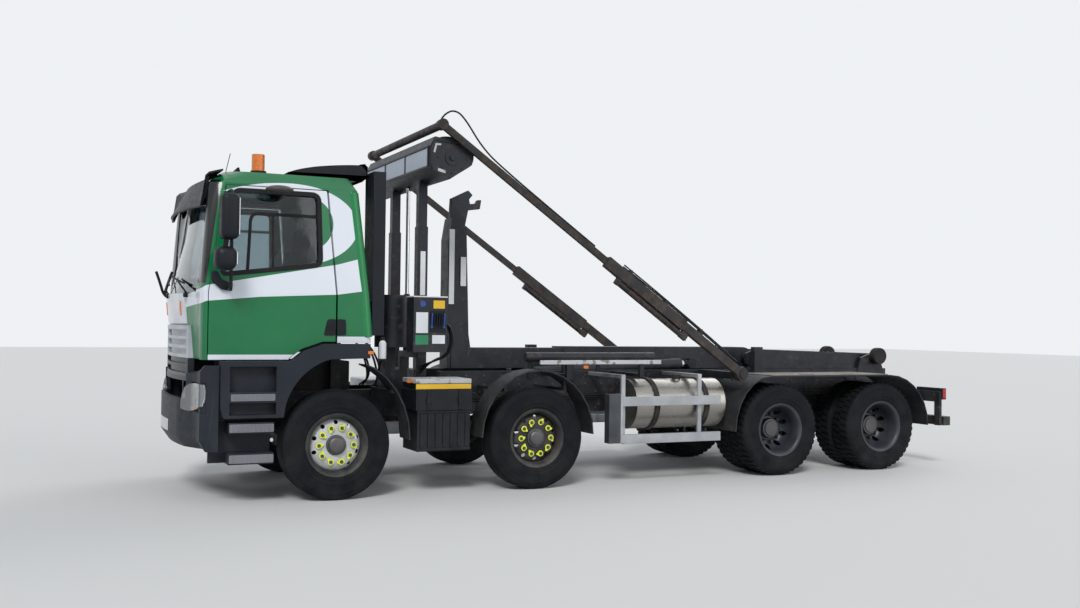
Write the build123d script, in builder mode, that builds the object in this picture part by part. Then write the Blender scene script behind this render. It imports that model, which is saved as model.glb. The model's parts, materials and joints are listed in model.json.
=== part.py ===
from build123d import *
from math import cos, hypot, radians, sin
import os

# Hook lift truck, four axles, day cab, with a sheeting gantry behind the cab.
# Frame: the front is towards -X, the driver's left is towards -Y, +Z is up,
# z = 0 is the ground and x = 0 is the middle of the overall length.
# All sizes are in millimetres.

os.makedirs("parts", exist_ok=True)

# Overall lengths
front_overhang = 1550
steer_spread = 2090
middle_spread = 3060
bogie_spread = 1480
tail_overhang = 1140
length = front_overhang + steer_spread + middle_spread + bogie_spread + tail_overhang
nose_x = -length / 2
axle_1 = nose_x + front_overhang
axle_2 = axle_1 + steer_spread
axle_3 = axle_2 + middle_spread
axle_4 = axle_3 + bogie_spread
tail_x = axle_4 + tail_overhang

# Clearances
seat_gap = 0.3
running_gap = 0.3
slide_gap = 0.5
panel_gap = 8
door_rear_gap = 16

# Wheels and tyres
tyre_radius = 522
tyre_width = 300
rim_radius = 286
flange_radius = 301
steer_track_half = 1070
rear_track_half = 1090
twin_spacing = 340
hub_radius = 110
spindle_radius = 45
spindle_reach = 60
kingpin_half = 950
kingpin_radius = 22
axle_z = tyre_radius

# Chassis rails
rail_top = 1000
rail_depth = 280
rail_outer = 430
rail_flange = 80
rail_wall = 10
rail_front = axle_1 - 1250
rail_rear = axle_4 + 900
rail_bottom = rail_top - rail_depth
cross_wall = 90

# Cab
cab_half = 1150
cab_wall = 60
cab_rear_floor = 1490
cab_low = 1330
belt_z = 1950
header_z = 2960
roof_z = 3085
front_corner = 230
rear_corner = 60
door_front = axle_1 - 1200
door_rear = axle_1
door_top = 2945
door_wall = 60
tilt_x = axle_1 - 1400
tilt_z = 1220
grille_low = 1120

# Hook lift
lift_bottom = rail_top
deck_z = 1450
sub_rail_outer = 425
sub_rail_width = 80
sub_rail_depth = 180
sub_front = axle_1 + 1300
sub_rear = axle_4 + 800
tip_x = axle_4 + 450
tip_z = 1245
boom_x = axle_3 + 250
boom_z = 1310
boom_width = 300
boom_depth = 260
boom_wall = 16
boom_front = axle_1 + 2900
jib_reach = 1000
hook_arm_x = axle_1 + 1500
hook_arm_depth = 250
hook_z = 3010
cylinder_y = 260
barrel_radius = 75
rod_radius = 40
foot_x = axle_1 + 2450
foot_z = 1150
lift_pin_reach = 850

# Sheeting gantry
mast_x = axle_1 + 1070
mast_y = 450
post_size = 110
post_wall = 8
post_top = 2700
gantry_z = 3130
housing_half = 1110
arm_y = 1180
arm_pivot_x = axle_1 + 4630
arm_pivot_z = 1160
bow_x = axle_1 + 1020
bow_z = 3660
bow_radius = 42


def block(x0, x1, y0, y1, z0, z1, mode=Mode.ADD):
    """A box between two corners."""
    with Locations(((x0 + x1) / 2, (y0 + y1) / 2, (z0 + z1) / 2)):
        Box(x1 - x0, y1 - y0, z1 - z0, mode=mode)


def side_plate(points, y0, y1, mode=Mode.ADD):
    """A plate whose outline is drawn in the side view, from y0 to y1."""
    with BuildSketch(Plane.XZ.offset(-y0)) as outline:
        with BuildLine():
            Polyline(*points, close=True)
        make_face()
    extrude(outline.sketch, amount=y0 - y1, mode=mode)


def front_plate(points, x0, x1, mode=Mode.ADD):
    """A plate whose outline is drawn in the front view, from x0 to x1."""
    with BuildSketch(Plane.YZ.offset(x0)) as outline:
        with BuildLine():
            Polyline(*points, close=True)
        make_face()
    extrude(outline.sketch, amount=x1 - x0, mode=mode)


def round_or_flat(radius, mode):
    """A bore is drawn round; a bar is drawn with flats, which fit inside its circle."""
    if mode == Mode.SUBTRACT:
        Circle(radius)
    elif radius < 60:
        RegularPolygon(radius, 12)
    elif radius < 200:
        RegularPolygon(radius, 16)
    else:
        RegularPolygon(radius, 24)


def cross_bar(x, z, radius, y0, y1, mode=Mode.ADD):
    """A round bar across the truck."""
    with BuildSketch(Plane.XZ.offset(-y0)) as outline:
        with Locations((x, z)):
            round_or_flat(radius, mode)
    extrude(outline.sketch, amount=y0 - y1, mode=mode)


def long_bar(y, z, radius, x0, x1, mode=Mode.ADD):
    """A round bar along the truck."""
    with BuildSketch(Plane.YZ.offset(x0)) as outline:
        with Locations((y, z)):
            round_or_flat(radius, mode)
    extrude(outline.sketch, amount=x1 - x0, mode=mode)


def upright_bar(x, y, radius, z0, z1, mode=Mode.ADD):
    """A round upright bar."""
    with BuildSketch(Plane.XY.offset(z0)) as outline:
        with Locations((x, y)):
            round_or_flat(radius, mode)
    extrude(outline.sketch, amount=z1 - z0, mode=mode)


def rod_between(start, end, radius, mode=Mode.ADD):
    """A round rod between two points."""
    along = Vector(*end) - Vector(*start)
    with BuildSketch(Plane(origin=start, z_dir=along)) as outline:
        round_or_flat(radius, mode)
    extrude(outline.sketch, amount=along.length, mode=mode)


def side_beam(start, end, depth, y0, y1, mode=Mode.ADD):
    """A straight beam in the side view, of one depth, from y0 to y1."""
    dx = end[0] - start[0]
    dz = end[1] - start[1]
    span = hypot(dx, dz)
    nx = -dz / span * depth / 2
    nz = dx / span * depth / 2
    corners = (
        (start[0] + nx, start[1] + nz),
        (end[0] + nx, end[1] + nz),
        (end[0] - nx, end[1] - nz),
        (start[0] - nx, start[1] - nz),
    )
    side_plate(corners, y0, y1, mode)


def flat_sided(outlines):
    """A solid with flat faces between closed outlines of one number of points."""
    faces = [Face(Wire.make_polygon(outlines[0])), Face(Wire.make_polygon(outlines[-1]))]
    for low, high in zip(outlines, outlines[1:]):
        for index in range(len(low)):
            faces.append(Face(Wire.make_polygon([low[index - 1], low[index], high[index], high[index - 1]])))
    return Solid(Shell(faces))


def save(piece, label):
    """Label a finished piece and write it."""
    piece.part.label = label
    export_step(piece.part, f"parts/{label}.step")


# Chassis frame: two channel rails, cross members, front brackets for the cab
# and the rear posts that the cab rests on.
tilt_bracket_y = (370, 420)
tilt_pin_radius = 20
cab_post_x = axle_1 + 180
cross_members = (
    rail_front + 60,
    axle_1 + 1300,
    axle_2 + 450,
    axle_2 + 1300,
    axle_3 - 700,
    axle_3 + 740,
    rail_rear - cross_wall / 2,
)
with BuildPart() as chassis_frame:
    block(rail_front, rail_rear, rail_outer - rail_flange, rail_outer, rail_bottom, rail_top)
    block(
        rail_front,
        rail_rear,
        rail_outer - rail_flange,
        rail_outer - rail_wall,
        rail_bottom + rail_wall,
        rail_top - rail_wall,
        mode=Mode.SUBTRACT,
    )
    for cross_x in cross_members:
        block(
            cross_x - cross_wall / 2,
            cross_x + cross_wall / 2,
            0,
            rail_outer - rail_wall,
            rail_bottom + 40,
            rail_bottom + 40 + 160,
        )
    side_plate(
        (
            (rail_front, rail_top - 120),
            (rail_front + 200, rail_top - 120),
            (rail_front + 200, rail_top),
            (tilt_x + 170, tilt_z - 20),
            (tilt_x + 100, tilt_z + 30),
            (tilt_x - 15, tilt_z + 30),
            (tilt_x - 30, tilt_z + 15),
            (tilt_x - 30, tilt_z - 15),
            (tilt_x - 15, tilt_z - 30),
            (tilt_x + 90, tilt_z - 60),
            (rail_front, rail_top - 20),
        ),
        *tilt_bracket_y,
    )
    block(cab_post_x - 50, cab_post_x + 50, rail_outer - rail_flange, rail_outer, rail_top, cab_rear_floor - seat_gap)
    cross_bar(tilt_x, tilt_z, tilt_pin_radius, tilt_bracket_y[1], tilt_bracket_y[1] + 70)
    mirror(about=Plane.XZ)
save(chassis_frame, "chassis_frame")

# Engine and gearbox, one plain block between the rails.
engine_half = 330
with BuildPart() as engine_block:
    block(axle_1 - 900, axle_1 + 350, -engine_half, engine_half, 620, 1290)
    block(axle_1 + 350, axle_1 + 1150, -190, 190, 640, 940)
    for mount_x in (axle_1 - 700, axle_1 + 250):
        block(
            mount_x - 60,
            mount_x + 60,
            -(rail_outer - rail_wall) + seat_gap,
            rail_outer - rail_wall - seat_gap,
            rail_bottom + 60,
            rail_bottom + 160,
        )
save(engine_block, "engine_block")

# Front bumper with its corner units and the lower steps behind them.
bumper_top = 960
bumper_bottom = 500
bumper_wall = 45
bumper_half = 1215
corner_top = 1280
corner_front_top = 1180
corner_slope_end = axle_1 - 1280
corner_rear = axle_1 - 1100
corner_inner = 760
bumper_front = nose_x
bumper_face = nose_x + 120
lamp_low = 850
lamp_high = 1120
step_front = axle_1 - 1010
step_rear = axle_1 - 600
step_inner = 1000
step_levels = (380, 660)
step_thick = 100
with BuildPart() as front_bumper:
    with BuildSketch(Plane.XY.offset(bumper_bottom)) as bumper_plan:
        with BuildLine():
            Polyline(
                (corner_rear, -bumper_half),
                (bumper_face, -bumper_half + 60),
                (bumper_front, -620),
                (bumper_front, 620),
                (bumper_face, bumper_half - 60),
                (corner_rear, bumper_half),
                close=True,
            )
        make_face()
    extrude(amount=corner_top - bumper_bottom)
    with BuildSketch(Plane.XY.offset(bumper_bottom - 1)) as bumper_inside:
        with BuildLine():
            Polyline(
                (corner_rear + 10, -bumper_half + bumper_wall),
                (bumper_face + bumper_wall, -bumper_half + 60 + bumper_wall),
                (bumper_front + bumper_wall, -620),
                (bumper_front + bumper_wall, 620),
                (bumper_face + bumper_wall, bumper_half - 60 - bumper_wall),
                (corner_rear + 10, bumper_half - bumper_wall),
                close=True,
            )
        make_face()
    extrude(bumper_inside.sketch, amount=corner_top, mode=Mode.SUBTRACT)
    block(nose_x - 1, corner_rear + 1, -corner_inner, corner_inner, bumper_top, corner_top + 1, mode=Mode.SUBTRACT)
    side_plate(
        (
            (nose_x - 1, corner_front_top),
            (corner_slope_end, corner_top),
            (corner_slope_end, corner_top + 1),
            (nose_x - 1, corner_top + 1),
        ),
        -bumper_half,
        bumper_half,
        mode=Mode.SUBTRACT,
    )
    for side in (-1, 1):
        block(
            nose_x,
            axle_1 - 1235,
            min(side * 850, side * 1300),
            max(side * 850, side * 1300),
            lamp_low,
            lamp_high,
            mode=Mode.SUBTRACT,
        )
        block(
            corner_rear - 60,
            step_rear,
            min(side * step_inner, side * (step_inner + 30)),
            max(side * step_inner, side * (step_inner + 30)),
            step_levels[0],
            step_levels[1] + step_thick,
        )
        for step_low in step_levels:
            block(
                step_front,
                step_rear,
                min(side * step_inner, side * 1230),
                max(side * step_inner, side * 1230),
                step_low,
                step_low + step_thick,
            )
        block(
            corner_rear - 60,
            corner_rear,
            min(side * step_inner, side * (bumper_half - 10)),
            max(side * step_inner, side * (bumper_half - 10)),
            bumper_bottom,
            step_levels[1] + step_thick,
        )
        block(
            nose_x + bumper_wall,
            rail_front - seat_gap,
            min(side * (rail_outer - rail_flange), side * rail_outer),
            max(side * (rail_outer - rail_flange), side * rail_outer),
            rail_bottom,
            rail_bottom + 120,
        )
save(front_bumper, "front_bumper")

# Head lamps in the bumper corners and tail lamps at the rear.
tail_lamp_x = tail_x - 130
with BuildPart() as lamps:
    with BuildSketch(Plane.XY.offset(lamp_low + seat_gap)) as lamp_plan:
        with BuildLine():
            Polyline(
                (axle_1 - 1235 - seat_gap, 850 + seat_gap),
                (axle_1 - 1235 - seat_gap, 1185),
                (bumper_face + 10, bumper_half - 65),
                (bumper_face - 45, 850 + seat_gap),
                close=True,
            )
        make_face()
    extrude(amount=lamp_high - lamp_low - 2 * seat_gap)
    block(tail_lamp_x, tail_lamp_x + 60, 760, 1200, 820, 960)
    mirror(about=Plane.XZ)
save(lamps, "lamps")


def arc_points(center, radius_x, radius_z, start, end, count):
    """Points along an elliptic arc, from one angle to another in degrees."""
    points = []
    for step in range(count + 1):
        angle = radians(start + (end - start) * step / count)
        points.append((center[0] + radius_x * cos(angle), center[1] + radius_z * sin(angle)))
    return points


def bowed(start_x, end_x, end_z, middle_z):
    """Points of a leaf spring's bow between two ends at one height."""
    points = []
    for step in range(9):
        share = step / 8
        bow = 4 * share * (1 - share)
        points.append((start_x + (end_x - start_x) * share, end_z + (middle_z - end_z) * bow))
    return points


def arc_band(center, radius_x, radius_z, wall, y0, y1):
    """Upper half of a band about a point, as a mudguard."""
    outer = arc_points(center, radius_x, radius_z, 0, 180, 14)
    inner = arc_points(center, radius_x - wall, radius_z - wall, 180, 0, 14)
    side_plate(outer + inner, y0, y1)


# Mudguards of the two steered axles. The front one is only the rear half,
# because the cab's own flare covers the rest.
guard_wall = 14
guard_outer = 1250
front_guard_top = 1335
stay_low = 1002
with BuildPart() as steer_mudguards:
    arc_band((axle_1 + 60, 552), 660, front_guard_top - 552, guard_wall, 930, guard_outer - 20)
    block(axle_1 - 800, axle_1 + 275, 900, guard_outer, 540, 1400, mode=Mode.SUBTRACT)
    arc_band((axle_2, 550), 632, 674, guard_wall, 930, guard_outer)
    for stay_x, sheet_z in ((axle_1 + 560, 1050), (axle_2 - 340, 1108), (axle_2 + 340, 1108)):
        block(stay_x - 15, stay_x + 15, rail_outer + seat_gap, 1150, stay_low, stay_low + 30)
        block(stay_x - 15, stay_x + 15, 1090, 1150, stay_low, sheet_z)
        block(stay_x - 15, stay_x + 15, rail_outer + seat_gap, rail_outer + 30, stay_low - 60, stay_low + 1)
    mirror(about=Plane.XZ)
save(steer_mudguards, "steer_mudguards")

# Mudguards of the bogie: one flat top over both axles and a curved end each way.
bogie_guard_top = 1137
bogie_guard_low = 520
front_reach = 490
rear_reach = 610
with BuildPart() as rear_mudguards:
    front_arc = (axle_3 - 150, bogie_guard_low)
    rear_arc = (axle_4 + 120, bogie_guard_low)
    guard_rise = bogie_guard_top - bogie_guard_low
    outline = arc_points(front_arc, front_reach, guard_rise, 180, 90, 6)
    outline += arc_points(rear_arc, rear_reach, guard_rise, 90, 0, 7)
    outline += arc_points(rear_arc, rear_reach - guard_wall, guard_rise - guard_wall, 0, 90, 7)
    outline += arc_points(front_arc, front_reach - guard_wall, guard_rise - guard_wall, 90, 180, 6)
    side_plate(outline, 590, guard_outer)
    for stay_x in (axle_3 - 100, axle_4 + 100):
        block(stay_x - 20, stay_x + 20, sub_rail_outer + seat_gap, 640, 1090, bogie_guard_top - guard_wall + 1)
    mirror(about=Plane.XZ)
save(rear_mudguards, "rear_mudguards")

# Front axle beams with their leaf springs.
beam_low = 400
beam_high = 500
beam_half_depth = 45
boss_radius = 48
boss_half = 70
spring_y = (355, 425)
spring_top = rail_bottom - seat_gap
with BuildPart() as front_axles:
    for axle_x in (axle_1, axle_2):
        front_plate(
            (
                (-kingpin_half, axle_z + 50),
                (-kingpin_half, axle_z - 50),
                (-650, beam_low),
                (650, beam_low),
                (kingpin_half, axle_z - 50),
                (kingpin_half, axle_z + 50),
                (620, beam_high),
                (-620, beam_high),
            ),
            axle_x - beam_half_depth,
            axle_x + beam_half_depth,
        )
        for side in (-1, 1):
            upright_bar(axle_x, side * kingpin_half, boss_radius, axle_z - boss_half, axle_z + boss_half)
            upright_bar(
                axle_x,
                side * kingpin_half,
                kingpin_radius + running_gap,
                axle_z - boss_half,
                axle_z + boss_half,
                mode=Mode.SUBTRACT,
            )
            y_low = min(side * spring_y[0], side * spring_y[1])
            y_high = max(side * spring_y[0], side * spring_y[1])
            block(axle_x - 90, axle_x + 90, y_low, y_high, beam_high - 30, beam_high + 40)
            leaf = bowed(axle_x - 720, axle_x + 720, spring_top, beam_high + 60)
            leaf += bowed(axle_x + 720, axle_x - 720, spring_top - 40, beam_high + 10)
            side_plate(leaf, y_low, y_high)
save(front_axles, "front_axles")

# Driven axles: banjo housings, trailing to the hubs, with the bogie springs.
housing_radius = 62
banjo_radius = 190
with BuildPart() as rear_axles:
    for axle_x in (axle_3, axle_4):
        cross_bar(axle_x, axle_z, housing_radius, -820, 820)
        cross_bar(axle_x, axle_z, spindle_radius, -950, 950)
        long_bar(0, axle_z, banjo_radius, axle_x - 85, axle_x + 85)
        long_bar(0, axle_z, 70, axle_x - 330, axle_x)
        for side in (-1, 1):
            block(
                axle_x - 60,
                axle_x + 60,
                min(side * 440, side * 540),
                max(side * 440, side * 540),
                axle_z - 20,
                axle_z + 130,
            )
    bogie_x = (axle_3 + axle_4) / 2
    for side in (-1, 1):
        y_low = min(side * 445, side * 535)
        leaf = bowed(axle_3 - 80, axle_4 + 80, 640, 770)
        leaf += bowed(axle_4 + 80, axle_3 - 80, 590, 650)
        side_plate(leaf, y_low, y_low + 90)
        y_seat = min(side * (rail_outer + seat_gap), side * 470)
        block(bogie_x - 110, bogie_x + 110, y_seat, y_seat + 40 - seat_gap, 700, 900)
save(rear_axles, "rear_axles")

# Battery box on the left, with its lid.
with BuildPart() as battery_box:
    block(axle_1 + 790, axle_1 + 1345, -1210, -780, 430, 830)
    block(axle_1 + 770, axle_1 + 1360, -1225, -760, 830, 1035)
    block(axle_1 + 780, axle_1 + 1350, -1200, -790, 1035, 1130)
    for bracket_x in (axle_1 + 850, axle_1 + 1280):
        block(bracket_x - 30, bracket_x + 30, -760, -rail_outer - seat_gap, 760, 900)
save(battery_box, "battery_box")

# Fuel tank on the left: a lying cylinder in two straps on brackets.
tank_radius = 275
tank_y = -870
tank_z = 830
tank_front = axle_1 + 3310
tank_rear = axle_1 + 4450
with BuildPart() as fuel_tank:
    long_bar(tank_y, tank_z, tank_radius, tank_front, tank_rear)
    for strap_x in (tank_front + 250, tank_rear - 250):
        long_bar(tank_y, tank_z, tank_radius + 8, strap_x - 30, strap_x + 30)
        block(strap_x - 30, strap_x + 30, tank_y + tank_radius - 40, -rail_outer - seat_gap, 740, 900)
    upright_bar(tank_rear - 520, tank_y - 60, 45, tank_z + tank_radius - 30, tank_z + tank_radius + 30)
save(fuel_tank, "fuel_tank")

# Side guards: two rails on posts each side, hung from the lift's frame.
guard_front = axle_1 + 2910
guard_rear = axle_1 + 4320
guard_y = (1195, 1240)
with BuildPart() as side_guards:
    block(guard_front, guard_front + 170, guard_y[0] - 60, guard_y[1], 440, 960)
    block(guard_front + 170, guard_rear, *guard_y, 830, 930)
    block(guard_front + 170, guard_rear, *guard_y, 430, 530)
    for post_x in (guard_front + 195, guard_front + 1160):
        block(post_x - 25, post_x + 25, guard_y[0] - 30, guard_y[0], 440, 1165)
        block(post_x - 25, post_x + 25, sub_rail_outer + seat_gap, guard_y[0] - 30, 1125, 1165)
    mirror(about=Plane.XZ)
save(side_guards, "side_guards")

# Silencer and air tanks on the right side.
with BuildPart() as silencer:
    block(axle_1 + 790, axle_1 + 1400, 560, 1200, 430, 1050)
    for bracket_x in (axle_1 + 900, axle_1 + 1250):
        block(bracket_x - 30, bracket_x + 30, rail_outer + seat_gap, 560, 760, 900)
    long_bar(760, 700, 130, axle_1 + 3320, axle_1 + 4400)
    for bracket_x in (axle_1 + 3500, axle_1 + 4200):
        block(bracket_x - 30, bracket_x + 30, rail_outer + seat_gap, 760, 800, 860)
save(silencer, "silencer")

# Oil tank and lever cabinet of the hydraulics, behind the cab.
with BuildPart() as hydraulic_unit:
    upright_bar(axle_1 + 690, -640, 165, 1440, 1970)
    block(axle_1 + 640, axle_1 + 740, -640, -380, rail_top + 1, 1440)
    block(axle_1 + 780, axle_1 + 1130, -1090, -880, 1400, 1945)
    block(axle_1 + 860, axle_1 + 940, -1000, -380, 1340, 1400)
    block(axle_1 + 860, axle_1 + 940, -rail_outer, -380, rail_top, 1340)
    block(axle_1 + 740, axle_1 + 860, -rail_outer, -380, rail_top + 1, 1200)
save(hydraulic_unit, "hydraulic_unit")

# Frame of the hook lift: two long members on the rails, foot brackets of the
# lift cylinders, ears of the rear pivot and the deck rests of a container.
roller_x = tip_x + 160
roller_z = 1340
roller_radius = 105
roller_shaft = 30
tip_pin_radius = 35
ear_y = (400, 440)
foot_ear = 20
with BuildPart() as lift_frame:
    block(sub_front, sub_rear, sub_rail_outer - sub_rail_width, sub_rail_outer, rail_top, rail_top + sub_rail_depth)
    for cross_x in (sub_front + 60, foot_x, axle_2 + 1300, axle_3 + 700, sub_rear - 60):
        block(cross_x - 60, cross_x + 60, 0, sub_rail_outer - sub_rail_width, rail_top, rail_top + 60)
    for ear in (cylinder_y - barrel_radius - 10 - foot_ear, cylinder_y + barrel_radius + 10):
        side_plate(
            (
                (foot_x - 110, rail_top + 30),
                (foot_x + 110, rail_top + 30),
                (foot_x + 50, foot_z + 50),
                (foot_x - 50, foot_z + 50),
            ),
            ear,
            ear + foot_ear,
        )
    side_plate(
        (
            (tip_x - 160, rail_top + 30),
            (tip_x + 350, rail_top + 30),
            (roller_x + 60, roller_z + 20),
            (roller_x - 40, roller_z + 40),
            (tip_x - 70, tip_z + 70),
        ),
        *ear_y,
    )
    cross_bar(tip_x, tip_z, tip_pin_radius, 0, ear_y[0] + 5)
    cross_bar(roller_x, roller_z, roller_shaft + running_gap, ear_y[0], ear_y[1], mode=Mode.SUBTRACT)
    for rest_x in (axle_2 + 700, axle_3 + 200):
        block(rest_x - 60, rest_x + 60, sub_rail_outer, 530, rail_top + 80, rail_top + sub_rail_depth)
        block(rest_x - 60, rest_x + 60, 450, 530, rail_top + sub_rail_depth, deck_z)
    mirror(about=Plane.XZ)
    cross_bar(foot_x, foot_z, 30, -(cylinder_y + barrel_radius + 10), -(cylinder_y - barrel_radius - 10))
    cross_bar(foot_x, foot_z, 30, cylinder_y - barrel_radius - 10, cylinder_y + barrel_radius + 10)
save(lift_frame, "lift_frame")

# Rear rollers that a container runs on, on one shaft.
with BuildPart() as rear_rollers:
    for side in (-1, 1):
        cross_bar(roller_x, roller_z, roller_radius, min(side * 446, side * 540), max(side * 446, side * 540))
    cross_bar(roller_x, roller_z, roller_shaft, -446, 446)
save(rear_rollers, "rear_rollers")

# Rear bar with the lamp brackets.
with BuildPart() as rear_bar:
    block(tail_x - 110, tail_x, -1200, 1200, 500, 610)
    for side in (-1, 1):
        block(
            rail_rear + seat_gap,
            tail_x - 110,
            min(side * 300, side * rail_outer),
            max(side * 300, side * rail_outer),
            500,
            rail_bottom + 200,
        )
        block(
            tail_lamp_x - 40,
            tail_lamp_x - seat_gap,
            min(side * 300, side * 1190),
            max(side * 300, side * 1190),
            790,
            920,
        )
        block(
            tail_lamp_x - 40,
            tail_lamp_x - seat_gap,
            min(side * 1100, side * 1190),
            max(side * 1100, side * 1190),
            500,
            920,
        )
save(rear_bar, "rear_bar")

# Gantry mast: two hollow posts on a base across the rails, with the lift ram.
ram_radius = 35
with BuildPart() as sheeter_mast:
    for side in (-1, 1):
        y0 = side * mast_y - post_size / 2
        y1 = side * mast_y + post_size / 2
        block(mast_x - post_size / 2, mast_x + post_size / 2, y0, y1, rail_top + 100, post_top)
        block(
            mast_x - post_size / 2 + post_wall,
            mast_x + post_size / 2 - post_wall,
            y0 + post_wall,
            y1 - post_wall,
            rail_top + 200,
            post_top,
            mode=Mode.SUBTRACT,
        )
        block(mast_x - 100, mast_x + 100, side * mast_y - 100, side * mast_y + 100, rail_top, rail_top + 100)
    block(mast_x - 60, mast_x + 60, -mast_y, mast_y, rail_top + 100, rail_top + 200)
    block(mast_x - 30, mast_x + 30, -mast_y + post_size / 2, mast_y - post_size / 2, 1900, 1960)
    upright_bar(mast_x, 0, ram_radius, rail_top + 100, 2000)
    upright_bar(mast_x, 0, ram_radius - 15 + running_gap, rail_top + 250, 2001, mode=Mode.SUBTRACT)
save(sheeter_mast, "sheeter_mast")

# Housing of the sheet roller on its sliding posts.
inner_post = post_size - 2 * post_wall - 2 * slide_gap
mast_travel = 600
with BuildPart() as sheeter_housing:
    for side in (-1, 1):
        block(
            mast_x - inner_post / 2,
            mast_x + inner_post / 2,
            side * mast_y - inner_post / 2,
            side * mast_y + inner_post / 2,
            post_top - 1000,
            gantry_z + 30,
        )
    upright_bar(mast_x, 0, ram_radius - 15, 1300, gantry_z + 30)
    side_plate(
        (
            (mast_x - 150, gantry_z + 110),
            (mast_x + 60, gantry_z),
            (mast_x + 300, gantry_z + 160),
            (mast_x + 310, gantry_z + 280),
            (mast_x + 240, gantry_z + 370),
            (mast_x - 100, gantry_z + 420),
            (mast_x - 150, gantry_z + 330),
        ),
        -housing_half,
        housing_half,
    )
    side_plate(
        (
            (mast_x - 130, gantry_z + 125),
            (mast_x + 60, gantry_z + 30),
            (mast_x + 280, gantry_z + 175),
            (mast_x + 290, gantry_z + 275),
            (mast_x + 225, gantry_z + 380),
            (mast_x + 120, gantry_z + 420),
            (mast_x + 20, gantry_z + 420),
            (mast_x - 90, gantry_z + 395),
            (mast_x - 130, gantry_z + 325),
        ),
        -housing_half + 20,
        housing_half - 20,
        mode=Mode.SUBTRACT,
    )
    cross_bar(mast_x + 80, gantry_z + 215, 120, -housing_half + 10, housing_half - 10)
save(sheeter_housing, "sheeter_housing")

# Sheeting arms: pivot, lower beam and the sleeve of the telescopic part.
arm_dx = bow_x - arm_pivot_x
arm_dz = bow_z - arm_pivot_z
arm_span = hypot(arm_dx, arm_dz)
arm_ux = arm_dx / arm_span
arm_uz = arm_dz / arm_span


def on_arm(distance, lift=0):
    """A point of the side view along the arm, from its pivot."""
    return (
        arm_pivot_x + arm_ux * distance + arm_uz * lift,
        arm_pivot_z + arm_uz * distance - arm_ux * lift,
    )


sleeve_start = 1000
sleeve_end = 2120
sleeve_depth = 120
arm_width = 70
tube_depth = 70
tube_width = 46
with BuildPart() as sheeter_arms:
    side_beam(on_arm(0), on_arm(sleeve_start), 95, arm_y - arm_width / 2, arm_y + arm_width / 2)
    side_beam(on_arm(sleeve_start - 60), on_arm(sleeve_end), sleeve_depth, arm_y - arm_width / 2, arm_y + arm_width / 2)
    side_beam(
        on_arm(sleeve_start + 100),
        on_arm(sleeve_end + 1),
        tube_depth + 2 * slide_gap,
        arm_y - tube_width / 2 - slide_gap,
        arm_y + tube_width / 2 + slide_gap,
        mode=Mode.SUBTRACT,
    )
    cross_bar(arm_pivot_x, arm_pivot_z, 75, arm_y - arm_width / 2, arm_y + arm_width / 2)
    cross_bar(
        arm_pivot_x,
        arm_pivot_z,
        35 + running_gap,
        arm_y - arm_width / 2,
        arm_y + arm_width / 2,
        mode=Mode.SUBTRACT,
    )
    rod_between(
        (on_arm(900, -100)[0], arm_y, on_arm(900, -100)[1]),
        (on_arm(1900, -100)[0], arm_y, on_arm(1900, -100)[1]),
        32,
    )
    side_beam(on_arm(880, 0), on_arm(880, -130), 90, arm_y - 25, arm_y + 25)
    side_beam(on_arm(1890, 0), on_arm(1890, -130), 50, arm_y - 25, arm_y + 25)
    side_beam(
        on_arm(sleeve_start + 100),
        on_arm(sleeve_end + 1),
        tube_depth + 2 * slide_gap,
        arm_y - tube_width / 2 - slide_gap,
        arm_y + tube_width / 2 + slide_gap,
        mode=Mode.SUBTRACT,
    )
    mirror(about=Plane.XZ)
save(sheeter_arms, "sheeter_arms")

# Bow: the inner tubes of both arms and the cross tube that draws the sheet.
with BuildPart() as sheeter_bow:
    side_beam(on_arm(sleeve_start + 140), on_arm(arm_span), tube_depth, arm_y - tube_width / 2, arm_y + tube_width / 2)
    cross_bar(bow_x, bow_z, bow_radius + 14, arm_y - 45, arm_y + 40)
    mirror(about=Plane.XZ)
    cross_bar(bow_x, bow_z, bow_radius, -arm_y, arm_y)
save(sheeter_bow, "sheeter_bow")

# Swing drives of the arms: the pivot brackets and the long tubes before them.
drive_y = 1060
drive_z = 1350
drive_front = axle_1 + 2010
drive_rear = axle_1 + 3550
with BuildPart() as arm_drives:
    block(arm_pivot_x - 60, arm_pivot_x + 60, sub_rail_outer + seat_gap, arm_y - 80, arm_pivot_z - 60, arm_pivot_z + 20)
    block(arm_pivot_x - 80, arm_pivot_x + 80, arm_y - 80, arm_y - 45, arm_pivot_z - 80, arm_pivot_z + 80)
    cross_bar(arm_pivot_x, arm_pivot_z, 35, arm_y - 46, arm_y + arm_width / 2 + 20)
    cross_bar(arm_pivot_x, arm_pivot_z, 50, arm_y + arm_width / 2 + 1, arm_y + arm_width / 2 + 20)
    long_bar(drive_y, drive_z, 50, drive_front, drive_rear)
    for stay_x in (drive_front + 500, drive_rear - 150):
        block(stay_x - 25, stay_x + 25, sub_rail_outer + seat_gap, drive_y, 1130, 1170)
        block(stay_x - 25, stay_x + 25, drive_y - 30, drive_y + 20, 1130, drive_z - 30)
    mirror(about=Plane.XZ)
save(arm_drives, "arm_drives")

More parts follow.
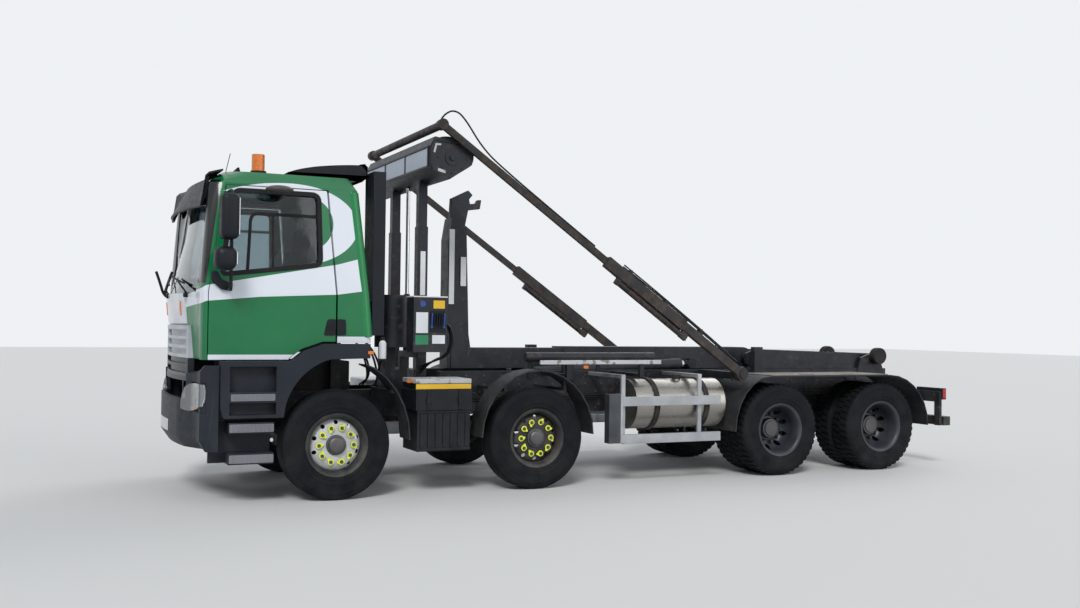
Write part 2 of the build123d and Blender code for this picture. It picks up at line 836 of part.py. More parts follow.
# Tip frame: two side plates from the rear pivot to the pivot of the boom.
tip_plate_y = (345, 385)
tip_boss = 60
with BuildPart() as tip_frame:
    side_plate(
        (
            (tip_x, tip_z - tip_boss),
            (tip_x, tip_z + tip_boss),
            (tip_x - 90, tip_z + 130),
            (boom_x, boom_z + 110),
            (boom_x - 130, boom_z + 60),
            (boom_x - 130, boom_z - 60),
            (boom_x, rail_top + sub_rail_depth + seat_gap),
            (tip_x - 90, rail_top + sub_rail_depth + seat_gap),
        ),
        *tip_plate_y,
    )
    cross_bar(tip_x, tip_z, tip_boss, *tip_plate_y)
    cross_bar(tip_x, tip_z, tip_pin_radius + running_gap, 0, ear_y[0], mode=Mode.SUBTRACT)
    block(tip_x - 420, tip_x - 240, 0, tip_plate_y[0], tip_z - 30, tip_z + 110)
    cross_bar(boom_x, boom_z, 55, boom_width / 2 + 5, tip_plate_y[0])
    mirror(about=Plane.XZ)
    cross_bar(boom_x, boom_z, 45 - running_gap, -tip_plate_y[0], tip_plate_y[0])
save(tip_frame, "tip_frame")

# Main boom: a box beam with the pivot sleeve at the rear and the pin bosses
# of the lift cylinders on its sides.
boom_low = boom_z - boom_depth / 2
boom_high = boom_z + boom_depth / 2
pin_x = boom_x - lift_pin_reach
pin_z = boom_z - 60
jib_width = boom_width - 2 * boom_wall - 2 * slide_gap
jib_depth = boom_depth - 2 * boom_wall - 2 * slide_gap
with BuildPart() as main_boom:
    block(boom_front, boom_x - 120, -boom_width / 2, boom_width / 2, boom_low, boom_high)
    cross_bar(boom_x, boom_z, boom_depth / 2, -boom_width / 2, boom_width / 2)
    block(boom_x - 120, boom_x, -boom_width / 2, boom_width / 2, boom_low, boom_high)
    block(
        boom_front - 1,
        boom_x - 200,
        -boom_width / 2 + boom_wall,
        boom_width / 2 - boom_wall,
        boom_low + boom_wall,
        boom_high - boom_wall,
        mode=Mode.SUBTRACT,
    )
    cross_bar(boom_x, boom_z, 45, -boom_width / 2, boom_width / 2, mode=Mode.SUBTRACT)
    for side in (-1, 1):
        y_in = side * boom_width / 2
        y_out = side * (cylinder_y - 50)
        cross_bar(pin_x, pin_z, 70, min(y_in, y_out), max(y_in, y_out))
save(main_boom, "main_boom")

# Sliding jib with the upright arm and the hook.
hook_arm_half = 120
hook_arm_rear = hook_arm_x + hook_arm_depth
jib_low = boom_z - jib_depth / 2
jib_high = boom_z + jib_depth / 2
with BuildPart() as jib:
    block(hook_arm_x + 40, boom_front + 1000, -jib_width / 2, jib_width / 2, jib_low, jib_high)
    side_plate(
        (
            (hook_arm_x, jib_low),
            (hook_arm_rear + 60, jib_low),
            (hook_arm_rear, jib_high + 150),
            (hook_arm_rear - 40, hook_z - 260),
            (hook_arm_x + 40, hook_z - 160),
            (hook_arm_x, hook_z - 400),
        ),
        -hook_arm_half,
        hook_arm_half,
    )
    side_plate(
        (
            (hook_arm_x + 40, hook_z - 300),
            (hook_arm_rear - 40, hook_z - 300),
            (hook_arm_rear + 10, hook_z - 60),
            (hook_arm_rear + 150, hook_z - 40),
            (hook_arm_rear + 165, hook_z + 60),
            (hook_arm_rear + 125, hook_z + 60),
            (hook_arm_rear + 105, hook_z + 20),
            (hook_arm_rear + 30, hook_z + 10),
            (hook_arm_rear + 20, hook_z + 60),
            (hook_arm_rear + 60, hook_z + 110),
            (hook_arm_rear + 10, hook_z + 160),
            (hook_arm_x + 60, hook_z + 60),
        ),
        -35,
        35,
    )
save(jib, "jib")

# Lift cylinders: barrels on the frame, rods reaching to the boom.
lift_dx = pin_x - foot_x
lift_dz = pin_z - foot_z
lift_span = hypot(lift_dx, lift_dz)
lift_ux = lift_dx / lift_span
lift_uz = lift_dz / lift_span
barrel_length = 1950


def on_lift(distance, y):
    """A point on the axis of a lift cylinder, from its foot pin."""
    return (foot_x + lift_ux * distance, y, foot_z + lift_uz * distance)


with BuildPart() as lift_barrels:
    for y in (-cylinder_y, cylinder_y):
        rod_between(on_lift(20, y), on_lift(barrel_length, y), barrel_radius - 5)
        cross_bar(foot_x, foot_z, 55, y - barrel_radius, y + barrel_radius)
        cross_bar(foot_x, foot_z, 30 + running_gap, y - barrel_radius, y + barrel_radius, mode=Mode.SUBTRACT)
        rod_between(on_lift(150, y), on_lift(barrel_length + 1, y), rod_radius + running_gap, mode=Mode.SUBTRACT)
save(lift_barrels, "lift_barrels")

with BuildPart() as lift_rods:
    for y in (-cylinder_y, cylinder_y):
        rod_between(on_lift(200, y), on_lift(lift_span - 20, y), rod_radius)
        cross_bar(pin_x, pin_z, 60, y - 45, y + 45)
save(lift_rods, "lift_rods")


# Cab shell. Each level is one plan outline: height, front, rear, half width.
cab_levels = (
    (cab_low, axle_1 - 1450, axle_1 + 353, cab_half),
    (belt_z, axle_1 - 1505, axle_1 + 320, cab_half),
    (header_z, axle_1 - 1260, axle_1 + 205, cab_half - 60),
    (roof_z, axle_1 - 1040, axle_1 + 150, cab_half - 180),
)


def cab_outline(height, front, rear, half):
    """One plan outline of the cab, with round corners in short flats."""
    corners = (
        (rear - rear_corner, half - rear_corner, rear_corner, 0, 2),
        (front + front_corner, half - front_corner, front_corner, 90, 5),
        (front + front_corner, -half + front_corner, front_corner, 180, 5),
        (rear - rear_corner, -half + rear_corner, rear_corner, 270, 2),
    )
    points = []
    for x, y, radius, start, count in corners:
        for point_x, point_y in arc_points((x, y), radius, radius, start, start + 90, count):
            points.append((point_x, point_y, height))
    return points


def cab_body(inset, mode=Mode.ADD, below=0):
    """The cab's outer form, drawn in by the inset at the walls and the roof."""
    highest = cab_levels[-1][0]
    outlines = []
    for height, front, rear, half in cab_levels:
        level = min(height, highest - inset)
        if height == cab_low:
            level = cab_low - below
        outlines.append(cab_outline(level, front + inset, rear - inset, half - inset))
    add(flat_sided(outlines), mode=mode)


def cab_shell():
    """The cab's walls and roof, open below."""
    cab_body(0)
    cab_body(cab_wall, mode=Mode.SUBTRACT, below=1)


bay_front = axle_1 - 450
bay_mid = axle_1 - 330
bay_rear = axle_1 - 140


def wheel_bay(extra=0, mode=Mode.SUBTRACT):
    """The space over the front wheels that the cab leaves free."""
    side_plate(
        (
            (bay_front - extra, cab_low - 60),
            (bay_front - extra, cab_low + 10),
            (bay_mid - extra, cab_low + 100),
            (bay_rear, cab_rear_floor + extra),
            (axle_1 + 500, cab_rear_floor + extra),
            (axle_1 + 500, cab_low - 60),
        ),
        -cab_half - 50,
        cab_half + 50,
        mode,
    )


def door_outline(gap, rear_gap):
    """The door's outline in the side view, drawn in by a gap."""
    return (
        (door_front + gap, cab_low - 50),
        (door_front + gap, belt_z),
        (door_front + 150 + gap, door_top - gap),
        (door_rear - 90 - rear_gap, door_top - gap),
        (door_rear - rear_gap, belt_z),
        (door_rear - rear_gap, cab_low - 50),
    )


window_top = 2895
window_low = (2110, 2225)
window_front = (door_front + 115, door_front + 225)
window_rear = (door_rear - 165, door_rear - 185)


def window_outline(gap):
    """The door window's outline in the side view, drawn in by a gap."""
    return (
        (window_front[0] + gap, window_low[0] + gap),
        (window_front[1] + gap, window_top - gap),
        (window_rear[1] - gap, window_top - gap),
        (window_rear[0] - gap, window_low[1] + gap),
    )


pillar_y = 930
far = 2 * cab_half
floor_thick = 60

with BuildPart() as cab_floor:
    side_plate(
        (
            (axle_1 - 1440, cab_low),
            (bay_front, cab_low),
            (bay_mid, cab_low + 100),
            (bay_rear, cab_rear_floor),
            (axle_1 + 353, cab_rear_floor),
            (axle_1 + 353, cab_rear_floor + floor_thick),
            (bay_rear - 20, cab_rear_floor + floor_thick),
            (bay_mid - 50, cab_low + 150),
            (bay_front - 40, cab_low + floor_thick),
            (axle_1 - 1440, cab_low + floor_thick),
        ),
        -cab_half,
        cab_half,
    )
    floor_plan = (cab_levels[0][1] + cab_wall + 5, cab_levels[0][2] - cab_wall - 30, cab_half - cab_wall - seat_gap)
    floor_outlines = [cab_outline(level, *floor_plan) for level in (cab_low - 1, cab_low + 400)]
    add(flat_sided(floor_outlines), mode=Mode.INTERSECT)
    block(axle_1 - 1000, axle_1 + 250, -310, 310, cab_low + floor_thick - 1, cab_rear_floor + 180)
    block(axle_1 - 940, axle_1 + 190, -290, 290, cab_low - 1, cab_rear_floor + 160, mode=Mode.SUBTRACT)
    for side in (-1, 1):
        y_eye = side * (tilt_bracket_y[1] + 35)
        block(tilt_x - 5, tilt_x + 55, y_eye - 30, y_eye + 30, tilt_z, cab_low + 1)
        cross_bar(tilt_x, tilt_z, 38, y_eye - 30, y_eye + 30)
        cross_bar(tilt_x, tilt_z, tilt_pin_radius + running_gap, y_eye - 30, y_eye + 30, mode=Mode.SUBTRACT)
save(cab_floor, "cab_floor")

# Front panel of the cab, below the windscreen, open where the grille sits.
grille_half = 740
grille_top = 1640
with BuildPart() as cab_front:
    cab_shell()
    block(nose_x - far, door_front, -far, far, cab_low - 1, belt_z, mode=Mode.INTERSECT)
    block(nose_x - far, axle_1 - 1350, -grille_half, grille_half, cab_low - 1, grille_top, mode=Mode.SUBTRACT)
save(cab_front, "cab_front")

# Side frames: windscreen pillars, rail over the door and rear corner panels.
with BuildPart() as cab_sides:
    cab_shell()
    block(nose_x - far, axle_2, -pillar_y, pillar_y, cab_low - 2, roof_z + 1, mode=Mode.SUBTRACT)
    block(nose_x - far, door_front, -far, far, cab_low - 1, belt_z, mode=Mode.SUBTRACT)
    block(nose_x - far, axle_2, -far, far, header_z, roof_z + 1, mode=Mode.SUBTRACT)
    side_plate(door_outline(0, 0), -far, far, mode=Mode.SUBTRACT)
    wheel_bay()
save(cab_sides, "cab_sides")

# Rear wall between the corner panels.
with BuildPart() as cab_rear:
    cab_shell()
    block(axle_1, axle_2, -pillar_y, pillar_y, cab_rear_floor, header_z, mode=Mode.INTERSECT)
save(cab_rear, "cab_rear")

# Roof skin above the doors and the windscreen.
with BuildPart() as cab_roof:
    cab_shell()
    block(nose_x - far, axle_2, -far, far, header_z, roof_z + 1, mode=Mode.INTERSECT)
save(cab_roof, "cab_roof")

# Windscreen, let into the front opening.
screen_inset = 22
screen_thick = 8
with BuildPart() as windscreen:
    cab_body(screen_inset)
    cab_body(screen_inset + screen_thick, mode=Mode.SUBTRACT, below=1)
    block(
        nose_x - far,
        door_front,
        -pillar_y + seat_gap,
        pillar_y - seat_gap,
        belt_z + seat_gap,
        header_z - seat_gap,
        mode=Mode.INTERSECT,
    )
save(windscreen, "windscreen")

# Grille: a frame with cross bars, in the opening of the front panel.
grille_x = axle_1 - 1500
grille_bars = 6
grille_pitch = (grille_top - grille_low) / grille_bars
with BuildPart() as grille:
    block(grille_x, grille_x + 60, -grille_half + seat_gap, grille_half - seat_gap, grille_low, grille_top - seat_gap)
    block(
        grille_x - 1,
        grille_x + 40,
        -grille_half + 50,
        grille_half - 50,
        grille_low + 40,
        grille_top - 40,
        mode=Mode.SUBTRACT,
    )
    for bar in range(grille_bars):
        bar_low = grille_low + 40 + bar * grille_pitch
        block(grille_x + 5, grille_x + 41, -grille_half + 49, grille_half - 49, bar_low, bar_low + 32)
save(grille, "grille")

# Sun visor over the windscreen.
with BuildPart() as visor:
    side_plate(
        (
            (axle_1 - 1060, roof_z + 10),
            (axle_1 - 1330, roof_z - 60),
            (axle_1 - 1490, roof_z - 340),
            (axle_1 - 1470, roof_z - 350),
            (axle_1 - 1315, roof_z - 80),
            (axle_1 - 1060, roof_z - 8),
        ),
        -1000,
        1000,
    )
    for side in (-1, 1):
        y_low = min(side * 940, side * 960)
        side_plate(
            (
                (axle_1 - 1310, roof_z - 75),
                (axle_1 - 1450, roof_z - 320),
                (axle_1 - 1300, roof_z - 240),
                (axle_1 - 1200, roof_z - 60),
            ),
            y_low,
            y_low + 20,
        )
    cab_body(seat_gap - 1, mode=Mode.SUBTRACT)
save(visor, "visor")

# Dark deflector on the rear of the roof.
with BuildPart() as roof_deflector:
    side_plate(
        (
            (axle_1 - 490, roof_z + seat_gap),
            (axle_1 + 150, roof_z + seat_gap),
            (axle_1 + 330, roof_z + 10),
            (axle_1 + 320, roof_z + 150),
            (axle_1 - 100, roof_z + 130),
            (axle_1 - 480, roof_z + 40),
        ),
        -930,
        930,
    )
save(roof_deflector, "roof_deflector")

# Amber beacon on the left of the roof.
beacon_x = axle_1 - 700
beacon_y = -780
with BuildPart() as beacon:
    upright_bar(beacon_x, beacon_y, 72, roof_z + seat_gap, roof_z + 40)
    upright_bar(beacon_x, beacon_y, 62, roof_z + 40, roof_z + 195)
save(beacon, "beacon")

# Wheel arch flares and the step panels under the doors.
flare_inner = 1120
flare_outer = 1250
with BuildPart() as arch_flares:
    with BuildSketch(Plane.XZ.offset(-flare_inner)) as flare_side:
        with BuildLine():
            Polyline(
                (axle_1 - 1090, cab_low - panel_gap),
                (bay_front + 2, cab_low - panel_gap),
                (bay_mid, cab_low + 85),
                (bay_rear, cab_rear_floor - panel_gap),
                (axle_1 + 300, cab_rear_floor - panel_gap),
                (axle_1 + 300, 1345),
                (axle_1 - 90, 1335),
            )
            ThreePointArc((axle_1 - 90, 1335), (axle_1 - 400, 1120), (axle_1 - 516, 800))
            Polyline((axle_1 - 516, 800), (axle_1 - 1060, 800), (axle_1 - 1090, 900), (axle_1 - 1090, cab_low - panel_gap))
        make_face()
    extrude(flare_side.sketch, amount=-(flare_outer - flare_inner))
    block(axle_1 - 1010, axle_1 - 590, flare_inner + 30, flare_outer + 1, 1040, 1270, mode=Mode.SUBTRACT)
    block(axle_1 - 1010, axle_1 - 590, flare_inner + 30, flare_outer + 1, 830, 940, mode=Mode.SUBTRACT)
    block(axle_1 - 1000, axle_1 - 500, cab_half - cab_wall - 60, flare_inner, cab_low - 100, cab_low - panel_gap)
    block(axle_1 - 1000, axle_1 - 500, cab_half - cab_wall - 60, 1084, cab_low - 110, cab_low - seat_gap)
    mirror(about=Plane.XZ)
save(arch_flares, "arch_flares")

# Air intake duct on the cab's left rear corner.
with BuildPart() as air_intake:
    block(axle_1 + 353 + seat_gap, axle_1 + 480, -1090, -800, 1560, 3160)
    block(axle_1 + 320 + seat_gap, axle_1 + 360, -1060, -850, 1700, 1900)
    cab_body(-seat_gap, mode=Mode.SUBTRACT)
save(air_intake, "air_intake")

# Seats for two.
seat_floor = cab_rear_floor + floor_thick
with BuildPart() as seats:
    for seat_y in (-560, 560):
        block(axle_1 - 480, axle_1 - 60, seat_y - 190, seat_y + 190, seat_floor + seat_gap, seat_floor + 260)
        block(axle_1 - 560, axle_1 - 30, seat_y - 240, seat_y + 240, seat_floor + 260, seat_floor + 390)
        side_plate(
            (
                (axle_1 - 110, seat_floor + 350),
                (axle_1 + 30, seat_floor + 350),
                (axle_1 + 110, seat_floor + 1150),
                (axle_1 + 20, seat_floor + 1150),
            ),
            seat_y - 225,
            seat_y + 225,
        )
save(seats, "seats")

# Dashboard with the steering column, on the right hand side.
wheel_y = 560
column_foot = (axle_1 - 1150, wheel_y, 1800)
column_head = (axle_1 - 880, wheel_y, 2080)
with BuildPart() as dashboard:
    side_plate(
        (
            (axle_1 - 1400, 1560),
            (axle_1 - 1150, 1600),
            (axle_1 - 1050, 1900),
            (axle_1 - 1120, 2020),
            (axle_1 - 1400, 1990),
        ),
        -1000,
        1000,
    )
    dash_plan = (axle_1 - 1440 + cab_wall, axle_1, cab_half - cab_wall - 30)
    dash_outlines = [cab_outline(level, *dash_plan) for level in (1400, 2200)]
    add(flat_sided(dash_outlines), mode=Mode.INTERSECT)
    block(axle_1 - 1300, axle_1 - 1200, -300, 300, cab_low + floor_thick + seat_gap, 1700)
    rod_between(column_foot, column_head, 40)
save(dashboard, "dashboard")

# Steering wheel on the column's head.
hand_radius = 225
column_axis = Vector(*column_head) - Vector(*column_foot)
column_plane = Plane(origin=column_head, z_dir=column_axis)
with BuildPart() as hand_wheel:
    with BuildSketch(column_plane.offset(seat_gap)):
        Circle(50)
    extrude(amount=45)
    with BuildSketch(column_plane.offset(15)):
        Rectangle(2 * hand_radius, 40)
        Rectangle(40, 2 * hand_radius)
    extrude(amount=20)
    with BuildSketch(column_plane.offset(8)):
        RegularPolygon(hand_radius + 16, 20)
        RegularPolygon(hand_radius - 16, 20, mode=Mode.SUBTRACT)
    extrude(amount=32)
save(hand_wheel, "hand_wheel")

# Doors with their windows cut, and the glass in them.
glass_inset = 24
glass_thick = 6
mirror_x = axle_1 - 1030
mirror_arm = 14
mirror_post_y = 1330
for side_name, side in (("left", -1), ("right", 1)):
    y_near = min(side * pillar_y, side * far)
    y_far = max(side * pillar_y, side * far)
    with BuildPart() as door:
        cab_shell()
        with BuildSketch(Plane.XZ.offset(-y_near)) as door_side:
            with BuildLine():
                Polyline(*door_outline(panel_gap, door_rear_gap), close=True)
            make_face()
        extrude(door_side.sketch, amount=y_near - y_far, mode=Mode.INTERSECT)
        wheel_bay(panel_gap)
        side_plate(window_outline(0), y_near, y_far, mode=Mode.SUBTRACT)
    save(door, f"door_{side_name}")
    with BuildPart() as door_glass:
        cab_body(glass_inset)
        cab_body(glass_inset + glass_thick, mode=Mode.SUBTRACT, below=1)
        with BuildSketch(Plane.XZ.offset(-y_near)) as glass_side:
            with BuildLine():
                Polyline(*window_outline(seat_gap), close=True)
            make_face()
        extrude(glass_side.sketch, amount=y_near - y_far, mode=Mode.INTERSECT)
    save(door_glass, f"door_glass_{side_name}")
    with BuildPart() as mirrors:
        y_in = side * 1290
        y_out = side * 1500
        mirror_y = (min(y_in, y_out), max(y_in, y_out))
        block(axle_1 - 1130, axle_1 - 980, *mirror_y, 2420, 2820)
        block(axle_1 - 1120, axle_1 - 980, *mirror_y, 2150, 2340)
        block(
            mirror_x - mirror_arm,
            mirror_x + mirror_arm,
            min(side * (mirror_post_y - mirror_arm), side * (mirror_post_y + mirror_arm)),
            max(side * (mirror_post_y - mirror_arm), side * (mirror_post_y + mirror_arm)),
            1960,
            2880,
        )
        for arm_z, arm_start in ((1975, 1149.5), (2865, 1096.6)):
            block(
                mirror_x - mirror_arm + 2,
                mirror_x + mirror_arm - 2,
                min(side * arm_start, side * mirror_post_y),
                max(side * arm_start, side * mirror_post_y),
                arm_z - mirror_arm + 2,
                arm_z + mirror_arm - 2,
            )
        block(
            axle_1 - 720,
            axle_1 - 480,
            min(side * 1180, side * 1400),
            max(side * 1180, side * 1400),
            2870,
            2930,
        )
        block(
            axle_1 - 640,
            axle_1 - 560,
            min(side * 1093.9, side * 1181),
            max(side * 1093.9, side * 1181),
            2900,
            2925,
        )
    save(mirrors, f"mirrors_{side_name}")

# Steering knuckles: a fork round the axle's eye, with its pin and the spindle.
fork_half = boss_half + 28
web_in = kingpin_half + 52
web_out = kingpin_half + 66
steer_hub_in = steer_track_half - 50
for axle_name, axle_x in (("1", axle_1), ("2", axle_2)):
    for side_name, side in (("left", -1), ("right", 1)):
        with BuildPart() as knuckle:
            for lug_low in (axle_z - fork_half, axle_z + boss_half + seat_gap):
                block(
                    axle_x - 45,
                    axle_x + 45,
                    min(side * (kingpin_half - 30), side * web_out),
                    max(side * (kingpin_half - 30), side * web_out),
                    lug_low,
                    lug_low + 28 - seat_gap,
                )
            block(
                axle_x - 60,
                axle_x + 60,
                min(side * web_in, side * web_out),
                max(side * web_in, side * web_out),
                axle_z - fork_half,
                axle_z + fork_half,
            )
            upright_bar(axle_x, side * kingpin_half, kingpin_radius, axle_z - fork_half, axle_z + fork_half)
            cross_bar(
                axle_x,
                axle_z,
                spindle_radius,
                min(side * web_in, side * (steer_hub_in + spindle_reach)),
                max(side * web_in, side * (steer_hub_in + spindle_reach)),
            )
        save(knuckle, f"knuckle_{axle_name}_{side_name}")


tyre_sides = 24
tyre_sections = (
    (-tyre_width / 2 + 22, flange_radius),
    (-tyre_width / 2, 400),
    (-116, tyre_radius),
    (116, tyre_radius),
    (tyre_width / 2, 400),
    (tyre_width / 2 - 22, flange_radius),
)
rim_inner = rim_radius - 24
rim_half = tyre_width / 2 - 22


def tyre(x, middle):
    """A tyre's outer form about its middle plane."""
    outlines = []
    for across, radius in tyre_sections:
        ring = arc_points((x, axle_z), radius, radius, 0, 360, tyre_sides)[:-1]
        outlines.append([(point_x, middle + across, point_z) for point_x, point_z in ring])
    add(flat_sided(outlines))


def wheel_prism(x, y0, y1, radius, mode=Mode.ADD):
    """A many-sided plate or ring blank of a wheel, from y0 to y1."""
    ring = arc_points((x, axle_z), radius, radius, 0, 360, tyre_sides)[:-1]
    side_plate(ring, min(y0, y1), max(y0, y1), mode)


for axle_name, axle_x in (("1", axle_1), ("2", axle_2)):
    for side_name, side in (("left", -1), ("right", 1)):
        middle = side * steer_track_half
        hub_in = side * steer_hub_in
        hub_out = middle + side * 90
        spindle_out = hub_in + side * (spindle_reach + 1)
        with BuildPart() as wheel:
            tyre(axle_x, middle)
            wheel_prism(axle_x, middle - rim_half, middle + rim_half, rim_inner, mode=Mode.SUBTRACT)
            wheel_prism(axle_x, middle + side * 56, middle + side * 72, rim_inner + 4)
            cross_bar(axle_x, axle_z, hub_radius, min(hub_in, hub_out), max(hub_in, hub_out))
            cross_bar(
                axle_x,
                axle_z,
                spindle_radius + running_gap,
                min(hub_in, spindle_out),
                max(hub_in, spindle_out),
                mode=Mode.SUBTRACT,
            )
            cap_out = hub_out + side * 45
            cross_bar(axle_x, axle_z, 78, min(hub_out, cap_out), max(hub_out, cap_out))
        save(wheel, f"wheel_{axle_name}_{side_name}")

# Twin wheels: two tyres on two rims, with one hub.
rear_hub_in = 860
rear_spindle_end = 950
rear_hub_out = 1060
dish_y = rear_track_half - twin_spacing / 2
for axle_name, axle_x in (("3", axle_3), ("4", axle_4)):
    for side_name, side in (("left", -1), ("right", 1)):
        outer_middle = side * rear_track_half
        inner_middle = side * (rear_track_half - twin_spacing)
        with BuildPart() as wheel:
            tyre(axle_x, outer_middle)
            tyre(axle_x, inner_middle)
            wheel_prism(axle_x, inner_middle, outer_middle, rim_radius - 8)
            wheel_prism(
                axle_x,
                inner_middle - side * rim_half,
                outer_middle + side * rim_half,
                rim_inner,
                mode=Mode.SUBTRACT,
            )
            wheel_prism(axle_x, side * (dish_y - 14), side * (dish_y + 14), rim_inner + 4)
            hub_ends = (min(side * rear_hub_in, side * rear_hub_out), max(side * rear_hub_in, side * rear_hub_out))
            cross_bar(axle_x, axle_z, hub_radius, *hub_ends)
            bore_end = side * (rear_spindle_end + 1)
            cross_bar(
                axle_x,
                axle_z,
                spindle_radius + running_gap,
                min(side * rear_hub_in, bore_end),
                max(side * rear_hub_in, bore_end),
                mode=Mode.SUBTRACT,
            )
        save(wheel, f"wheel_{axle_name}_{side_name}")
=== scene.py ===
# %% [markdown]
# This lesson dresses a hook lift truck: a green day cab, two steered front
# axles, a twin-tyred bogie, a hook lift and a sheeting gantry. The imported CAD
# model gives every solid and its place, and Blender adds finishes, rounded
# corners, rubber, bolts, hoses and all that is too fine for the CAD.
# %% Load the frame
import json
import bmesh
import bpy
from math import cos, pi, radians, sin
from mathutils import Matrix, Vector


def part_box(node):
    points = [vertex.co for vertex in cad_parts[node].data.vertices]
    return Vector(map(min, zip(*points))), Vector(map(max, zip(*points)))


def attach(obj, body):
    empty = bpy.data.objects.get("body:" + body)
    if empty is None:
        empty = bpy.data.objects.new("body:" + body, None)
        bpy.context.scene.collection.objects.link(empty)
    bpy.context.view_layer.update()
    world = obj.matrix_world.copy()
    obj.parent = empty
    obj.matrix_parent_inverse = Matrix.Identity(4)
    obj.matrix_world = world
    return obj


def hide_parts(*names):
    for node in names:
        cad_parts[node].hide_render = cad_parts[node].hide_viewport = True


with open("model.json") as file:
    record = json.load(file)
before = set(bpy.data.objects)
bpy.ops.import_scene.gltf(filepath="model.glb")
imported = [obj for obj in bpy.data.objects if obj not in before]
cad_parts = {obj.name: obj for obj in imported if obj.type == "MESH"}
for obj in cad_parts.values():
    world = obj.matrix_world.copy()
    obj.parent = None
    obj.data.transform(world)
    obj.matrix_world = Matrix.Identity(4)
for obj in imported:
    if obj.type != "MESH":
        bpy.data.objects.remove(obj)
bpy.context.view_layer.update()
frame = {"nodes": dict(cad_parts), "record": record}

cad_nodes = frame["nodes"]
print("CAD nodes:", len(cad_nodes))

# %% [markdown]
# The photograph was taken from the driver's left, a little in front of the
# axle pair, at eye height. The lens and the place come from the four wheels,
# whose real size is known, so the camera is set with those numbers.
# %% Camera
camera_place = Vector((-5.90, -11.55, 1.69))
camera_heading, camera_pitch, camera_roll = radians(-25.31), radians(1.05), radians(0.72)
view_line = Vector((
    -sin(camera_heading) * cos(camera_pitch), cos(camera_heading) * cos(camera_pitch), sin(camera_pitch)
))
level_right = Vector((cos(camera_heading), sin(camera_heading), 0))
level_up = level_right.cross(view_line)
camera_right = level_right * cos(camera_roll) + level_up * sin(camera_roll)
camera_up = level_up * cos(camera_roll) - level_right * sin(camera_roll)
camera_data = bpy.data.cameras.new("camera")
camera_data.sensor_width = 36
camera_data.lens = 36 * 1113 / 1080
camera = bpy.data.objects.new("camera", camera_data)
bpy.context.scene.collection.objects.link(camera)
turn = Matrix((camera_right, camera_up, -view_line)).transposed()
camera.matrix_world = Matrix.Translation(camera_place) @ turn.to_4x4()
bpy.context.scene.camera = camera
print("lens", round(camera_data.lens, 1), "mm")

# %% [markdown]
# A truck yard has one sun and a bright sky. A studio does the same job softly:
# one wide sun as the key, a weak one from the other side, and an even world.
# The floor and the backdrop are pale, and only camera, mirror and glass rays
# see the bright backdrop, so it adds no light to the paint.
# %% Light and floor
def add_sun(name, towards, strength, spread):
    """A soft sun that shines along a direction."""
    light = bpy.data.lights.new(name, "SUN")
    light.energy = strength
    light.angle = radians(spread)
    lamp = bpy.data.objects.new(name, light)
    lamp.rotation_euler = Vector(towards).to_track_quat("-Z", "Y").to_euler()
    bpy.context.scene.collection.objects.link(lamp)


add_sun("key", (0.45, 0.75, -0.75), 2.0, 18)
add_sun("fill", (-0.7, -0.45, -0.5), 0.7, 40)
add_sun("rear_fill", (-0.5, 0.75, -0.25), 0.5, 40)

world = bpy.data.worlds.new("studio")
bpy.context.scene.world = world
world.use_nodes = True
sky = world.node_tree
sky.nodes.clear()
sky_out = sky.nodes.new("ShaderNodeOutputWorld")
sky_mix = sky.nodes.new("ShaderNodeMixShader")
sky_even = sky.nodes.new("ShaderNodeBackground")
sky_even.inputs["Color"].default_value = (0.86, 0.92, 1.0, 1)
sky_even.inputs["Strength"].default_value = 0.42
sky_pale = sky.nodes.new("ShaderNodeBackground")
sky_pale.inputs["Color"].default_value = (0.86, 0.88, 0.90, 1)
sky_pale.inputs["Strength"].default_value = 1.0
ray = sky.nodes.new("ShaderNodeLightPath")
seen = sky.nodes.new("ShaderNodeMath")
seen.operation = "MAXIMUM"
seen_glass = sky.nodes.new("ShaderNodeMath")
seen_glass.operation = "MAXIMUM"
sky.links.new(ray.outputs["Is Camera Ray"], seen.inputs[0])
sky.links.new(ray.outputs["Is Glossy Ray"], seen.inputs[1])
sky.links.new(seen.outputs[0], seen_glass.inputs[0])
sky.links.new(ray.outputs["Is Transmission Ray"], seen_glass.inputs[1])
sky.links.new(seen_glass.outputs[0], sky_mix.inputs["Fac"])
sky.links.new(sky_even.outputs[0], sky_mix.inputs[1])
sky.links.new(sky_pale.outputs[0], sky_mix.inputs[2])
sky.links.new(sky_mix.outputs[0], sky_out.inputs["Surface"])

floor_mesh = bpy.data.meshes.new("floor")
floor_form = bmesh.new()
bmesh.ops.create_grid(floor_form, x_segments=1, y_segments=1, size=60)
floor_form.to_mesh(floor_mesh)
floor_form.free()
floor = bpy.data.objects.new("floor", floor_mesh)
bpy.context.scene.collection.objects.link(floor)
floor_paint = bpy.data.materials.new("floor_paint")
floor_paint.use_nodes = True
floor_shader = floor_paint.node_tree.nodes["Principled BSDF"]
floor_shader.inputs["Base Color"].default_value = (0.66, 0.66, 0.65, 1)
floor_shader.inputs["Roughness"].default_value = 0.9
floor_mesh.materials.append(floor_paint)
bpy.context.scene.view_settings.view_transform = "Standard"
print("studio set")

# %% [markdown]
# Nearly every surface of a working truck is one recipe with other numbers: a
# colour that varies a little, road dust in patches that is thick near the
# ground, and a fine grain. One function writes that recipe as shader nodes on
# Object coordinates, which are metres in the row's own frame.
# %% Finish recipe
def new_finish(name):
    """A material with its shader and its Object coordinates."""
    material = bpy.data.materials.new(name)
    material.use_nodes = True
    tree = material.node_tree
    place = tree.nodes.new("ShaderNodeTexCoord").outputs["Object"]
    return material, tree, tree.nodes["Principled BSDF"], place


